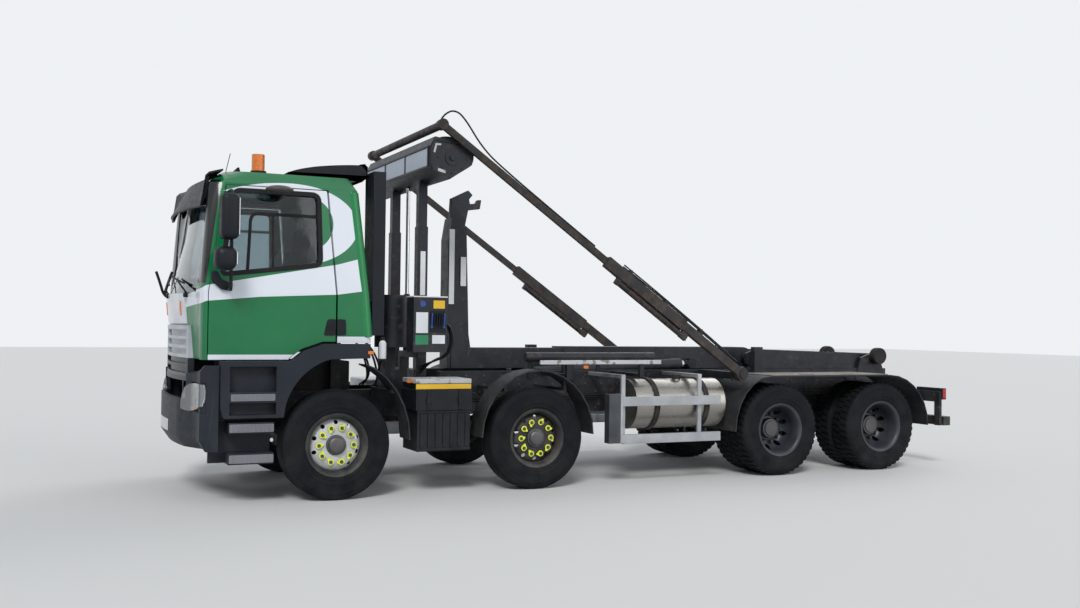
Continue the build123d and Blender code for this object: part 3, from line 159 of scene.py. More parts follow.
def ask(tree, kind, *values, clamp=False):
    """One Math node; a value is a number or another node's output."""
    node = tree.nodes.new("ShaderNodeMath")
    node.operation = kind
    node.use_clamp = clamp
    for socket, value in zip(node.inputs, values):
        if isinstance(value, (int, float)):
            socket.default_value = value
        else:
            tree.links.new(value, socket)
    return node.outputs[0]


def noise(tree, place, size, detail=4.0, stretch=(1, 1, 1)):
    """Noise with features of about this size, in metres."""
    node = tree.nodes.new("ShaderNodeTexNoise")
    node.inputs["Scale"].default_value = 1 / size
    node.inputs["Detail"].default_value = detail
    if stretch != (1, 1, 1):
        mapping = tree.nodes.new("ShaderNodeMapping")
        mapping.inputs["Scale"].default_value = stretch
        tree.links.new(place, mapping.inputs["Vector"])
        place = mapping.outputs[0]
    tree.links.new(place, node.inputs["Vector"])
    return node.outputs["Fac"]


def spread(tree, value, low, high, out_low=0.0, out_high=1.0):
    """Maps a value from one range to another and holds it there."""
    node = tree.nodes.new("ShaderNodeMapRange")
    node.inputs["From Min"].default_value = low
    node.inputs["From Max"].default_value = high
    node.inputs["To Min"].default_value = out_low
    node.inputs["To Max"].default_value = out_high
    tree.links.new(value, node.inputs["Value"])
    return node.outputs[0]


def blend_colour(tree, share, first, second):
    """Mixes two colours; each is a tuple or another node's output."""
    node = tree.nodes.new("ShaderNodeMix")
    node.data_type = "RGBA"
    if isinstance(share, (int, float)):
        node.inputs[0].default_value = share
    else:
        tree.links.new(share, node.inputs[0])
    for socket, colour in ((node.inputs[6], first), (node.inputs[7], second)):
        if isinstance(colour, tuple):
            socket.default_value = (*colour[:3], 1)
        else:
            tree.links.new(colour, socket)
    return node.outputs[2]


def axis_of(tree, place, axis):
    """One coordinate of a place."""
    node = tree.nodes.new("ShaderNodeSeparateXYZ")
    tree.links.new(place, node.inputs[0])
    return node.outputs["XYZ".index(axis)]


def add_grain(tree, shader, place, size, depth, stretch=(1, 1, 1)):
    """A fine unevenness of the surface, in metres."""
    bump = tree.nodes.new("ShaderNodeBump")
    bump.inputs["Strength"].default_value = 1.0
    bump.inputs["Distance"].default_value = depth
    tree.links.new(noise(tree, place, size, 3.0, stretch), bump.inputs["Height"])
    tree.links.new(bump.outputs[0], shader.inputs["Normal"])


road_dust = (0.30, 0.27, 0.235)


def dusty(tree, place, amount, height):
    """How much road dust lies here: more near the ground, in patches."""
    level = axis_of(tree, place, "Z")
    low_down = spread(tree, level, 0.1, height, 1.0, 0.12)
    patches = spread(tree, noise(tree, place, 0.16, 6.0), 0.35, 0.72)
    return ask(tree, "MULTIPLY", ask(tree, "MULTIPLY", low_down, patches), amount, clamp=True)


def make_finish(
    name, colour, rough, metal=0.0, coat=0.0, vary=0.12, dust=0.3, dust_height=1.4,
    grain=0.03, depth=0.0002, stretch=(1, 1, 1), wear=None, wear_share=0.0, dust_colour=road_dust, shine=0.35,
):
    """The recipe: varied colour, worn patches, road dust, grain."""
    material, tree, shader, place = new_finish(name)
    darker = tuple(c * (1 - vary) for c in colour)
    lighter = tuple(min(1.0, c * (1 + vary)) for c in colour)
    base = blend_colour(tree, spread(tree, noise(tree, place, 0.35, 5.0), 0.3, 0.7), darker, lighter)
    rough_now = spread(
        tree, noise(tree, place, 0.05, 5.0), 0.3, 0.7, max(0.03, rough - 0.06), min(1.0, rough + 0.08)
    )
    if wear:
        worn = spread(tree, noise(tree, place, 0.07, 8.0), 0.62 - wear_share * 0.3, 0.68 - wear_share * 0.25)
        base = blend_colour(tree, worn, base, wear)
        rough_now = ask(tree, "ADD", rough_now, ask(tree, "MULTIPLY", worn, 0.2), clamp=True)
    share = dusty(tree, place, dust, dust_height)
    base = blend_colour(tree, share, base, dust_colour)
    rough_now = ask(tree, "ADD", rough_now, ask(tree, "MULTIPLY", share, 0.45), clamp=True)
    tree.links.new(base, shader.inputs["Base Color"])
    tree.links.new(rough_now, shader.inputs["Roughness"])
    shader.inputs["Metallic"].default_value = metal
    shader.inputs["Specular IOR Level"].default_value = shine
    shader.inputs["Coat Weight"].default_value = coat
    shader.inputs["Coat Roughness"].default_value = 0.06
    add_grain(tree, shader, place, grain, depth, stretch)
    return material


dark_plastic = make_finish(
    "dark_plastic", (0.006, 0.008, 0.012), 0.45, dust=0.06, grain=0.002, depth=0.0002, shine=0.22
)
bumper_plastic = make_finish(
    "bumper_plastic", (0.013, 0.017, 0.025), 0.48, dust=0.06, grain=0.002, depth=0.0002, shine=0.22
)
guard_plastic = make_finish(
    "guard_plastic", (0.012, 0.014, 0.018), 0.55, dust=0.22, dust_height=1.3, grain=0.004, depth=0.0003,
    shine=0.25
)
chassis_paint = make_finish(
    "chassis_paint", (0.012, 0.014, 0.017), 0.55, dust=0.25, dust_height=1.3, wear=(0.06, 0.042, 0.032),
    wear_share=0.1, shine=0.2,
)
lift_paint = make_finish(
    "lift_paint", (0.010, 0.013, 0.019), 0.42, dust=0.12, dust_height=2.2, wear=(0.045, 0.034, 0.030),
    wear_share=0.06, shine=0.3,
)
cast_metal = make_finish(
    "cast_metal", (0.018, 0.018, 0.019), 0.7, metal=0.1, dust=0.3, grain=0.006, depth=0.0006, shine=0.2
)
rusty_steel = make_finish(
    "rusty_steel", (0.022, 0.020, 0.021), 0.5, metal=0.2, dust=0.15, dust_height=3.5,
    wear=(0.055, 0.038, 0.031), wear_share=0.35, grain=0.01, depth=0.0004, shine=0.3,
)
bare_aluminium = make_finish(
    "bare_aluminium", (0.42, 0.44, 0.47), 0.36, metal=0.8, dust=0.25, grain=0.004, depth=0.00015,
    stretch=(0.05, 1, 1)
)
tank_metal = make_finish(
    "tank_metal", (0.34, 0.325, 0.30), 0.28, metal=0.9, vary=0.08, dust=0.35, dust_height=1.2, grain=0.02,
    depth=0.0003, stretch=(0.1, 1, 1),
)
silver_paint = make_finish("silver_paint", (0.36, 0.42, 0.52), 0.35, dust=0.2, dust_height=2.5, coat=0.2)
rod_chrome = make_finish("rod_chrome", (0.62, 0.63, 0.65), 0.15, metal=1.0, vary=0.04, dust=0.1)
tyre_rubber = make_finish(
    "tyre_rubber", (0.006, 0.007, 0.009), 0.7, dust=0.16, dust_height=1.2, grain=0.012, depth=0.0004,
    dust_colour=(0.10, 0.095, 0.09), shine=0.12,
)


def two_tone(name, first, second, axis, limit, rough, metal=0.0, dust=0.2, shine=0.3):
    """Two painted zones of one piece, which meet across an axis."""
    material, tree, shader, place = new_finish(name)
    beyond = ask(tree, "GREATER_THAN", axis_of(tree, place, axis), limit)
    tones = []
    for colour in (first, second):
        darker, lighter = (tuple(c * share for c in colour) for share in (0.85, 1.15))
        tones.append(
            blend_colour(tree, spread(tree, noise(tree, place, 0.2, 5.0), 0.3, 0.7), darker, lighter)
        )
    base = blend_colour(tree, beyond, tones[0], tones[1])
    share = dusty(tree, place, dust, 1.4)
    tree.links.new(blend_colour(tree, share, base, road_dust), shader.inputs["Base Color"])
    tree.links.new(spread(tree, share, 0.0, 0.4, rough, min(1.0, rough + 0.3)), shader.inputs["Roughness"])
    shader.inputs["Metallic"].default_value = metal
    shader.inputs["Specular IOR Level"].default_value = shine
    add_grain(tree, shader, place, 0.01, 0.0002)
    return material


grille_lip_z, guard_front_x, rod_eye_x = 1.335, -0.060, 1.330
grille_grey = two_tone(
    "grille_grey", (0.012, 0.015, 0.021), (0.42, 0.44, 0.48), "Z", grille_lip_z, 0.35
)
guard_metal = two_tone(
    "guard_metal", (0.050, 0.056, 0.066), (0.34, 0.355, 0.375), "X", guard_front_x, 0.42, metal=0.45
)
rod_metal = two_tone(
    "rod_metal", (0.62, 0.63, 0.65), (0.014, 0.016, 0.021), "X", rod_eye_x, 0.25, metal=0.6, dust=0.05
)
seat_cloth = make_finish("seat_cloth", (0.045, 0.05, 0.06), 0.95, dust=0.0, grain=0.0015, depth=0.0004)
print("finishes:", len(bpy.data.materials))

# %% [markdown]
# A CAD edge is perfectly sharp, and a real one never is: folded sheet, cast
# iron and moulded plastic all catch a line of light on their corners. The
# CAD's mesh may not be changed, so a copy is merged, its flat faces are made
# whole and a bevel runs along its corners. The copy then stands for the node.
# %% Rounded copies of CAD nodes
def add_piece(name, mesh, body, finish=None):
    """Puts a finished mesh in the scene on a body."""
    piece = bpy.data.objects.new(name, mesh)
    bpy.context.scene.collection.objects.link(piece)
    if finish:
        mesh.materials.clear()
        mesh.materials.append(finish)
    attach(piece, body)
    return piece


def body_of(node):
    """The body that carries a CAD node."""
    for body, members in frame["record"]["behaviour"]["bodies"].items():
        if node in members:
            return body


def smooth_by_angle(mesh, angle):
    """Soft shading, with a sharp edge wherever two faces meet at more than this."""
    mesh.shade_smooth()
    mesh.set_sharp_from_angle(angle=radians(angle))


axle_1 = -3.110
nose_pull, corner_pull, pull_length = 0.125, 0.100, 0.300
pull_start, door_line, front_half = -1.050, -1.200, 0.920


chin_level, chin_slope = 0.600, 0.70


def front_shift(point):
    """How far back a point of the front lies from the CAD's flatter front."""
    across = min(abs(point.y) / front_half, 1.0)
    beside = min(max((abs(point.y) - 0.6) / 0.5, 0.0), 1.0)
    start = pull_start + (door_line - pull_start) * beside * beside * (3 - 2 * beside)
    share = min(max((start - (point.x - axle_1)) / pull_length, 0.0), 1.0)
    under = max(chin_level - point.z, 0.0) * chin_slope
    return (nose_pull + corner_pull * across * across + under) * share


def draw_in(form):
    """Cuts the front of a form into narrow strips and bends them to its curve."""
    planes = [((0, step * 0.115, 0), (0, 1, 0)) for step in range(-10, 11)]
    planes += [((axle_1 + pull_start - step * 0.075, 0, 0), (1, 0, 0)) for step in range(7)]
    planes.append(((0, 0, chin_level), (0, 0, 1)))
    for place, across in planes:
        faces = [face for face in form.faces if min(v.co.x for v in face.verts) < axle_1 + pull_start]
        around = {v for face in faces for v in face.verts} | {e for face in faces for e in face.edges}
        bmesh.ops.bisect_plane(form, geom=faces + list(around), dist=0.0002, plane_co=place, plane_no=across)
    for vert in form.verts:
        vert.co.x += front_shift(vert.co)
    return form


drawn_nodes = (
    "cab_front", "cab_sides", "cab_roof", "cab_floor", "grille", "dashboard", "visor", "windscreen",
    "front_bumper", "lamps", "chassis_frame",
)


def soften(node, finish, width=0.004, segments=2, angle=32):
    """A copy of a CAD node with rounded corners, which stands for it."""
    mesh = cad_nodes[node].data.copy()
    form = bmesh.new()
    form.from_mesh(mesh)
    bmesh.ops.remove_doubles(form, verts=form.verts, dist=0.00002)
    bmesh.ops.dissolve_limit(form, angle_limit=radians(0.8), verts=form.verts, edges=form.edges)
    if node in drawn_nodes:
        draw_in(form)
    form.to_mesh(mesh)
    form.free()
    smooth_by_angle(mesh, angle)
    piece = add_piece(node + "_rounded", mesh, body_of(node), finish)
    if width:
        bevel = piece.modifiers.new("rounded corners", "BEVEL")
        bevel.width = width
        bevel.segments = segments
        bevel.limit_method = "ANGLE"
        bevel.angle_limit = radians(angle)
        bevel.harden_normals = True
    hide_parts(node)
    return piece

# %% [markdown]
# Wheels come first, because they carry most of a truck's likeness. A tyre is a
# body of revolution, so its section is drawn once and spun about the axle. The
# steered tyres have straight grooves, and the driven ones have cross lugs.
# %% Spinning a section
def spun_form(section, centre, out, steps=96, form=None):
    """Spins a closed section, given as (outwards, radius), about the Y axis."""
    own = bmesh.new()
    verts = [own.verts.new((centre[0], centre[1] + out * a, centre[2] + r)) for a, r in section]
    edges = [own.edges.new((verts[i], verts[i - 1])) for i in range(len(verts))]
    bmesh.ops.spin(
        own, geom=verts + edges, cent=centre, axis=(0, 1, 0), angle=2 * pi, steps=steps, use_merge=True
    )
    bmesh.ops.remove_doubles(own, verts=own.verts, dist=0.00005)
    bmesh.ops.recalc_face_normals(own, faces=own.faces)
    return merge_into(own, form)


def merge_into(own, form):
    """Adds one bmesh to another and frees it."""
    if form is None:
        return own
    part = bpy.data.meshes.new("part")
    own.to_mesh(part)
    own.free()
    form.from_mesh(part)
    bpy.data.meshes.remove(part)
    return form


def finish_form(name, form, body, finish, angle=35, bevel=0.0):
    """Turns a bmesh into a piece on a body."""
    mesh = bpy.data.meshes.new(name)
    form.to_mesh(mesh)
    form.free()
    smooth_by_angle(mesh, angle)
    piece = add_piece(name, mesh, body, finish)
    if bevel:
        rounding = piece.modifiers.new("rounded corners", "BEVEL")
        rounding.width = bevel
        rounding.segments = 2
        rounding.limit_method = "ANGLE"
        rounding.angle_limit = radians(35)
        rounding.harden_normals = True
    return piece


def add_box(form, low, high, turn_about=None, turn_by=None):
    """A box between two corners, turned about a point if asked."""
    middle = Vector([(a + b) / 2 for a, b in zip(low, high)])
    size = [abs(b - a) for a, b in zip(low, high)]
    made = bmesh.ops.create_cube(form, size=1)["verts"]
    bmesh.ops.scale(form, vec=size, verts=made)
    bmesh.ops.translate(form, vec=middle, verts=made)
    if turn_by is not None:
        bmesh.ops.rotate(form, verts=made, cent=turn_about, matrix=turn_by)
    return made


def add_round(form, start, end, radius, segments=24, end_radius=None):
    """A capped cylinder or cone between two points."""
    start, end = Vector(start), Vector(end)
    line = end - start
    made = bmesh.ops.create_cone(
        form, cap_ends=True, segments=segments, radius1=radius,
        radius2=radius if end_radius is None else end_radius, depth=line.length,
    )["verts"]
    bmesh.ops.transform(form, matrix=line.to_track_quat("Z", "Y").to_matrix().to_4x4(), verts=made)
    bmesh.ops.translate(form, vec=(start + end) / 2, verts=made)
    return made


# %% Tyre sections
def mirrored(half):
    """A section's outer half followed by its inner half."""
    return half + [(-a, r) for a, r in reversed(half)]


def tyre_section(crown, grooves):
    """A truck tyre: tread, shoulder, sidewall with its rings, bead and lining."""
    tread = []
    for groove in grooves:
        tread += [(groove - 0.005, crown), (groove - 0.003, crown - 0.013)]
        tread += [(groove + 0.003, crown - 0.013), (groove + 0.005, crown)]
    wall = [
        (0.106, crown - 0.001), (0.121, crown - 0.006), (0.133, crown - 0.017), (0.141, crown - 0.035),
        (0.1455, 0.462), (0.1480, 0.458), (0.1485, 0.452), (0.1475, 0.448), (0.1495, 0.425), (0.1500, 0.400),
        (0.1490, 0.372), (0.1500, 0.368), (0.1500, 0.362), (0.1470, 0.357), (0.1430, 0.335), (0.1440, 0.330),
        (0.1430, 0.324), (0.1370, 0.309), (0.1290, 0.300), (0.1040, 0.276),
    ]
    lining = [(0.092, 0.288), (0.117, 0.330), (0.125, 0.400), (0.118, 0.465), (0.090, 0.492)]
    outer = tread + wall
    return mirrored(list(reversed(lining)) + list(reversed(outer)))


tyre_radius, axle_height = 0.522, 0.522
steer_section = tyre_section(tyre_radius, (0.034, 0.080))
drive_section = tyre_section(tyre_radius - 0.012, ())
print("points of a steered tyre's section:", len(steer_section))

# %% Rim, hub and nut shapes
barrel_section = [
    (-0.130, 0.300), (-0.122, 0.282), (-0.105, 0.274), (-0.060, 0.262), (0.070, 0.262), (0.100, 0.274),
    (0.119, 0.282), (0.126, 0.301), (0.134, 0.3045), (0.1405, 0.300), (0.134, 0.281), (0.126, 0.270),
    (0.104, 0.262), (0.075, 0.250), (-0.065, 0.250), (-0.110, 0.262), (-0.128, 0.272), (-0.138, 0.290),
]
steer_disc = [
    (0.030, 0.252), (0.047, 0.247), (0.066, 0.230), (0.080, 0.206), (0.0865, 0.190), (0.088, 0.140),
    (0.088, 0.086), (0.076, 0.086), (0.076, 0.186), (0.066, 0.204), (0.052, 0.224), (0.036, 0.238),
    (0.028, 0.246),
]
steer_hub = [
    (0.070, 0.0), (0.070, 0.097), (0.104, 0.096), (0.110, 0.091), (0.112, 0.080), (0.134, 0.076),
    (0.141, 0.068),
    (0.1445, 0.050), (0.1445, 0.0),
]
drive_disc = [
    (-0.020, 0.252), (-0.060, 0.243), (-0.098, 0.226), (-0.124, 0.204), (-0.134, 0.190), (-0.136, 0.150),
    (-0.136, 0.142), (-0.150, 0.142), (-0.150, 0.188), (-0.139, 0.200), (-0.113, 0.221), (-0.084, 0.235),
    (-0.052, 0.246), (-0.034, 0.252),
]
drive_hub = [
    (-0.150, 0.0), (-0.150, 0.144), (-0.118, 0.143), (-0.112, 0.138), (-0.110, 0.118), (-0.052, 0.113),
    (-0.046, 0.108), (-0.044, 0.090), (-0.032, 0.086), (-0.030, 0.0),
]
nut_circle, nut_count = 0.1675, 10


def round_the_hub(index, count, radius, centre, outwards):
    """A point on a circle about the axle, and its angle."""
    angle = 2 * pi * index / count
    return Vector(
        (centre[0] + radius * sin(angle), centre[1] + outwards, centre[2] + radius * cos(angle))
    ), angle


def add_nuts(form, centre, out, face):
    """Ten hexagon nuts with their studs."""
    for index in range(nut_count):
        foot, _ = round_the_hub(index + 0.5, nut_count, nut_circle, centre, out * face)
        along = Vector((0, out, 0))
        add_round(form, foot, foot + along * 0.006, 0.024, 16)
        add_round(form, foot, foot + along * 0.030, 0.0185, 6)
        add_round(form, foot, foot + along * 0.040, 0.0105, 12)


def add_indicators(form, centre, out, face, tilt):
    """Ten soft caps with a pointer each, which show when a nut turns."""
    for index in range(nut_count):
        foot, angle = round_the_hub(index + 0.5, nut_count, nut_circle, centre, out * face)
        along = Vector((0, out, 0))
        made = add_round(form, foot, foot + along * 0.010, 0.030, 16)
        way = angle + tilt + index * 0.35
        tip = Vector((sin(way), 0, cos(way)))
        for vert in made:
            aim = (vert.co - foot).dot(tip)
            if aim > 0.027:
                vert.co += tip * 0.016


def cut_round_holes(form, centre, out, low, high, radius, count, size):
    """Takes round hand holes out of a disc with one boolean."""
    if form.calc_volume(signed=True) < 0:
        bmesh.ops.reverse_faces(form, faces=form.faces)
    mesh = bpy.data.meshes.new("disc")
    form.to_mesh(mesh)
    form.free()
    disc = bpy.data.objects.new("disc", mesh)
    cutter_form = bmesh.new()
    for index in range(count):
        foot, _ = round_the_hub(index, count, radius, centre, out * low)
        add_round(cutter_form, foot, foot + Vector((0, out * (high - low), 0)), size, 20)
    cutter_mesh = bpy.data.meshes.new("holes")
    cutter_form.to_mesh(cutter_mesh)
    cutter_form.free()
    cutter = bpy.data.objects.new("holes", cutter_mesh)
    for thing in (disc, cutter):
        bpy.context.scene.collection.objects.link(thing)
    cut = disc.modifiers.new("holes", "BOOLEAN")
    cut.operation = "DIFFERENCE"
    cut.solver = "EXACT"
    cut.object = cutter
    result = bpy.data.meshes.new_from_object(disc.evaluated_get(bpy.context.evaluated_depsgraph_get()))
    for thing in (disc, cutter):
        bpy.data.objects.remove(thing)
    form = bmesh.new()
    form.from_mesh(result)
    return form


# %% [markdown]
# The wheels' finishes: worn white paint on the first axle, grey on the others,
# with yellow pointers on the nuts of the two steered axles.
# %% Wheel finishes
rim_white = make_finish("rim_white", (0.50, 0.52, 0.52), 0.5, dust=0.45, dust_height=1.3, grain=0.01)
rim_grey = make_finish(
    "rim_grey", (0.034, 0.039, 0.050), 0.38, metal=0.2, dust=0.12, dust_height=1.3, grain=0.01
)
rim_dark = make_finish("rim_dark", (0.014, 0.015, 0.017), 0.55, dust=0.3, dust_height=1.3, grain=0.01)
nut_steel = make_finish("nut_steel", (0.085, 0.085, 0.09), 0.45, metal=0.7, dust=0.25, grain=0.01)
nut_yellow = make_finish("nut_yellow", (0.72, 0.78, 0.03), 0.45, dust=0.35, grain=0.01)


# %% Building the wheels
axle_x = {"1": -3.110, "2": -1.020, "3": 2.040, "4": 3.520}
steer_track, drive_track, twin_spacing = 1.070, 1.090, 0.340


def add_lugs(form, centre, shift):
    """The cross lugs of a driven tyre: two rows of blocks, set half a step apart."""
    count = 44
    for row, across in ((0, 0.062), (1, -0.062)):
        for index in range(count):
            angle = 2 * pi * (index + 0.5 * row + shift) / count
            made = add_box(form, (-0.0215, across - 0.056, 0.500), (0.0215, across + 0.056, tyre_radius))
            for vert in made:
                vert.co.x += vert.co.y * 0.18
                if abs(vert.co.y) > 0.1 and vert.co.z > 0.51:
                    vert.co.z -= 0.006
            bmesh.ops.rotate(form, verts=made, cent=(0, 0, 0), matrix=Matrix.Rotation(angle, 3, "Y"))
            bmesh.ops.translate(form, vec=centre, verts=made)


def build_steer_wheel(axle, side, disc_finish):
    """Tyre, rim, hub, nuts and pointers of one steered wheel."""
    out = -1 if side == "left" else 1
    body = f"wheel_{axle}_{side}"
    centre = Vector((axle_x[axle], out * steer_track, axle_height))
    tyre = finish_form(
        body + "_tyre", spun_form(steer_section, centre, out), body, tyre_rubber
    )
    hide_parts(body)
    finish_form(body + "_rim", spun_form(barrel_section, centre, out), body, rim_dark)
    disc = spun_form(steer_disc, centre, out)
    disc = cut_round_holes(disc, centre, out, 0.0, 0.12, 0.2155, 10, 0.021)
    finish_form(body + "_disc", disc, body, disc_finish)
    hub = spun_form(steer_hub, centre, out, 48)
    add_nuts(hub, centre, out, 0.088)
    finish_form(body + "_hub", hub, body, nut_steel)
    pointers = bmesh.new()
    add_indicators(pointers, centre, out, 0.100, 0.4)
    finish_form(body + "_pointers", pointers, body, nut_yellow)


def build_drive_wheel(axle, side, turn):
    """Two lugged tyres, their rims and the deep hub of one twin wheel."""
    out = -1 if side == "left" else 1
    body = f"wheel_{axle}_{side}"
    outer = Vector((axle_x[axle], out * drive_track, axle_height))
    inner = Vector((axle_x[axle], out * (drive_track - twin_spacing), axle_height))
    tyres = merge_into(spun_form(drive_section, inner, out, 72), spun_form(drive_section, outer, out, 72))
    add_lugs(tyres, outer, turn)
    add_lugs(tyres, inner, turn + 0.3)
    tyre = finish_form(body + "_tyres", tyres, body, tyre_rubber)
    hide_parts(body)
    rims = merge_into(spun_form(barrel_section, inner, -out, 72), spun_form(barrel_section, outer, out, 96))
    finish_form(body + "_rims", rims, body, rim_grey)
    disc = spun_form(drive_disc, outer, out)
    disc = cut_round_holes(disc, outer, out, -0.2, 0.05, 0.2170, 10, 0.028)
    finish_form(body + "_disc", disc, body, rim_grey)
    hub = spun_form(drive_hub, outer, out, 48)
    add_nuts(hub, outer, out, -0.136)
    finish_form(body + "_hub", hub, body, nut_steel)


for side in ("left", "right"):
    build_steer_wheel("1", side, rim_white)
    build_steer_wheel("2", side, rim_dark)
    build_drive_wheel("3", side, 0.0)
    build_drive_wheel("4", side, 0.4)

# %% [markdown]
# The cab is deep green with broad white stripes: a ring that runs round the
# window, a band below it and a thin line along the sill. Stripes are film on
# a real truck and have exact edges, so the shader works them out from the
# place: an ellipse, a circle and a few straight lines, in metres.
# %% Green paint with white stripes
def both(tree, first, second):
    return ask(tree, "MULTIPLY", first, second)


def line_at(tree, along, start, height, slope):
    """The height of a sloping line at each place."""
    return ask(tree, "MULTIPLY_ADD", ask(tree, "SUBTRACT", along, start), slope, height)


def round_share(tree, along, level, middle, width, height):
    """1 inside an ellipse, 0 outside."""
    a = ask(tree, "DIVIDE", ask(tree, "SUBTRACT", along, middle[0]), width)
    b = ask(tree, "DIVIDE", ask(tree, "SUBTRACT", level, middle[1]), height)
    return ask(tree, "LESS_THAN", ask(tree, "ADD", both(tree, a, a), both(tree, b, b)), 1.0)


def striped_green():
    """Glossy green paint with the white stripes of the cab's sides."""
    material, tree, shader, place = new_finish("striped_green")
    along = ask(tree, "ADD", axis_of(tree, place, "X"), -axle_1)
    level = axis_of(tree, place, "Z")
    off_middle = ask(tree, "ABSOLUTE", axis_of(tree, place, "Y"))
    round_corner = both(
        tree, ask(tree, "GREATER_THAN", off_middle, 0.60), ask(tree, "LESS_THAN", along, -1.19)
    )
    side_only = ask(tree, "MAXIMUM", ask(tree, "GREATER_THAN", off_middle, 0.97), round_corner)
    pillar_line = ask(tree, "ADD", ask(tree, "MULTIPLY", level, 0.14), -1.505)
    pillar = both(tree, ask(tree, "LESS_THAN", along, pillar_line), ask(tree, "GREATER_THAN", level, 2.03))
    pillar = both(tree, pillar, ask(tree, "LESS_THAN", level, 2.99))
    behind = ask(tree, "GREATER_THAN", along, -0.45)
    ahead = ask(tree, "SUBTRACT", 1.0, behind)
    ring = both(tree, behind, round_share(tree, along, level, (-0.45, 2.60), 0.645, 0.39))
    drop = ask(
        tree, "MULTIPLY", ask(tree, "POWER", ask(tree, "ABSOLUTE", ask(tree, "ADD", along, 0.45)), 2.0),
        0.28
    )
    over = ask(tree, "LESS_THAN", ask(tree, "ADD", level, drop), 2.99)
    over = both(tree, both(tree, over, ahead), ask(tree, "GREATER_THAN", level, 2.88))
    over = both(tree, over, ask(tree, "GREATER_THAN", along, -1.09))
    hole = ask(tree, "SUBTRACT", 1.0, round_share(tree, along, level, (-0.30, 2.615), 0.255, 0.255))
    ring = both(tree, ask(tree, "MAXIMUM", ring, over), hole)
    rise = ask(tree, "MULTIPLY", ask(tree, "MAXIMUM", along, 0.0), 0.1)
    top = ask(
        tree, "MINIMUM", line_at(tree, along, 0.0, 2.236, 0.187), line_at(tree, along, -1.217, 2.010, 0.756)
    )
    low = ask(
        tree, "MINIMUM", line_at(tree, along, 0.0, 1.949, 0.0496),
        line_at(tree, along, -0.741, 1.912, 0.097)
    )
    low = ask(tree, "MINIMUM", low, line_at(tree, along, -1.214, 1.866, 0.52))
    band = both(
        tree,
        ask(tree, "LESS_THAN", level, ask(tree, "ADD", top, rise)),
        ask(tree, "GREATER_THAN", level, ask(tree, "ADD", low, rise)),
    )
    sill_slope = ask(
        tree, "LESS_THAN", ask(tree, "SUBTRACT", along, ask(tree, "SUBTRACT", level, 1.33)), -0.40
    )
    sill = both(
        tree, ask(tree, "LESS_THAN", level, 1.378),
        both(tree, ask(tree, "GREATER_THAN", along, -1.2), sill_slope)
    )
    rear_sill = both(tree, ask(tree, "LESS_THAN", level, 1.550), ask(tree, "GREATER_THAN", along, 0.0))
    white = ask(tree, "MAXIMUM", ask(tree, "MAXIMUM", ring, band), ask(tree, "MAXIMUM", sill, rear_sill))
    white = both(tree, white, side_only)
    tone = spread(tree, noise(tree, place, 0.6, 3.0), 0.3, 0.7)
    green = blend_colour(tree, tone, (0.0005, 0.128, 0.040), (0.001, 0.155, 0.048))
    colour = blend_colour(tree, white, green, (0.68, 0.71, 0.77))
    colour = blend_colour(tree, pillar, colour, (0.003, 0.004, 0.005))
    film = dusty(tree, place, 0.04, 2.4)
    tree.links.new(blend_colour(tree, film, colour, road_dust), shader.inputs["Base Color"])
    tree.links.new(spread(tree, film, 0.0, 0.3, 0.28, 0.6), shader.inputs["Roughness"])
    shader.inputs["Specular IOR Level"].default_value = 0.3
    shader.inputs["Coat Weight"].default_value = 0.35
    shader.inputs["Coat Roughness"].default_value = 0.05
    add_grain(tree, shader, place, 0.25, 0.0006)
    return material


cab_green = striped_green()
for node in ("cab_front", "cab_sides", "cab_rear", "cab_roof"):
    soften(node, cab_green, 0.012, 3)
for side in ("left", "right"):
    soften("door_" + side, cab_green, 0.010, 3)
for node in ("cab_floor", "dashboard", "hand_wheel", "air_intake"):
    soften(node, dark_plastic, 0.006)
soften("grille", grille_grey, 0.006)
soften("visor", dark_plastic, 0.014, 3)
soften("arch_flares", bumper_plastic, 0.012, 3)
soften("front_bumper", bumper_plastic, 0.014, 3)
print("cab shell dressed")

# %% [markdown]
# Truck glass is lightly tinted. It's a solid sheet in the CAD, so a clear
# transmitting shader on the node itself bends and mirrors light as glass does.
# %% Glass
glass_tint, glass_tree, glass_shader, glass_place = new_finish("tinted_glass")
glass_smears = spread(glass_tree, noise(glass_tree, glass_place, 0.2, 6.0), 0.4, 0.8, 0.0, 0.12)
glass_tree.links.new(glass_smears, glass_shader.inputs["Roughness"])
glass_shader.inputs["Base Color"].default_value = (0.42, 0.50, 0.53, 1)
glass_shader.inputs["Transmission Weight"].default_value = 1.0
glass_shader.inputs["IOR"].default_value = 1.45


def finish_node(node, finish):
    """Gives a CAD node that keeps its own mesh a better material."""
    data = cad_nodes[node].data
    data.materials.clear()
    data.materials.append(finish)


for node in ("door_glass_left", "door_glass_right"):
    finish_node(node, glass_tint)
soften("windscreen", glass_tint, 0.0)

# %% [markdown]
# The chassis and the lift are painted steel. Each node gets the finish of its
# real metal and a small bevel.
# %% Chassis and lift finishes
for node in ("chassis_frame", "rear_bar"):
    soften(node, chassis_paint, 0.004)
for node, width in (("engine_block", 0.008), ("front_axles", 0.002), ("rear_axles", 0.008)):
    soften(node, cast_metal, width)
for axle in "12":
    for side in ("left", "right"):
        soften(f"knuckle_{axle}_{side}", cast_metal, 0.003)
for node in ("lift_frame", "tip_frame", "main_boom", "jib", "lift_barrels", "sheeter_mast"):
    soften(node, lift_paint, 0.006)
soften("lift_rods", rod_metal, 0.001)
soften("rear_rollers", cast_metal, 0.006)
soften("sheeter_housing", lift_paint, 0.004)
for node in ("sheeter_arms", "sheeter_bow"):
    soften(node, rusty_steel, 0.006)
soften("arm_drives", lift_paint, 0.006)
for node in ("steer_mudguards", "rear_mudguards"):
    soften(node, guard_plastic, 0.004)
soften("side_guards", guard_metal, 0.004)
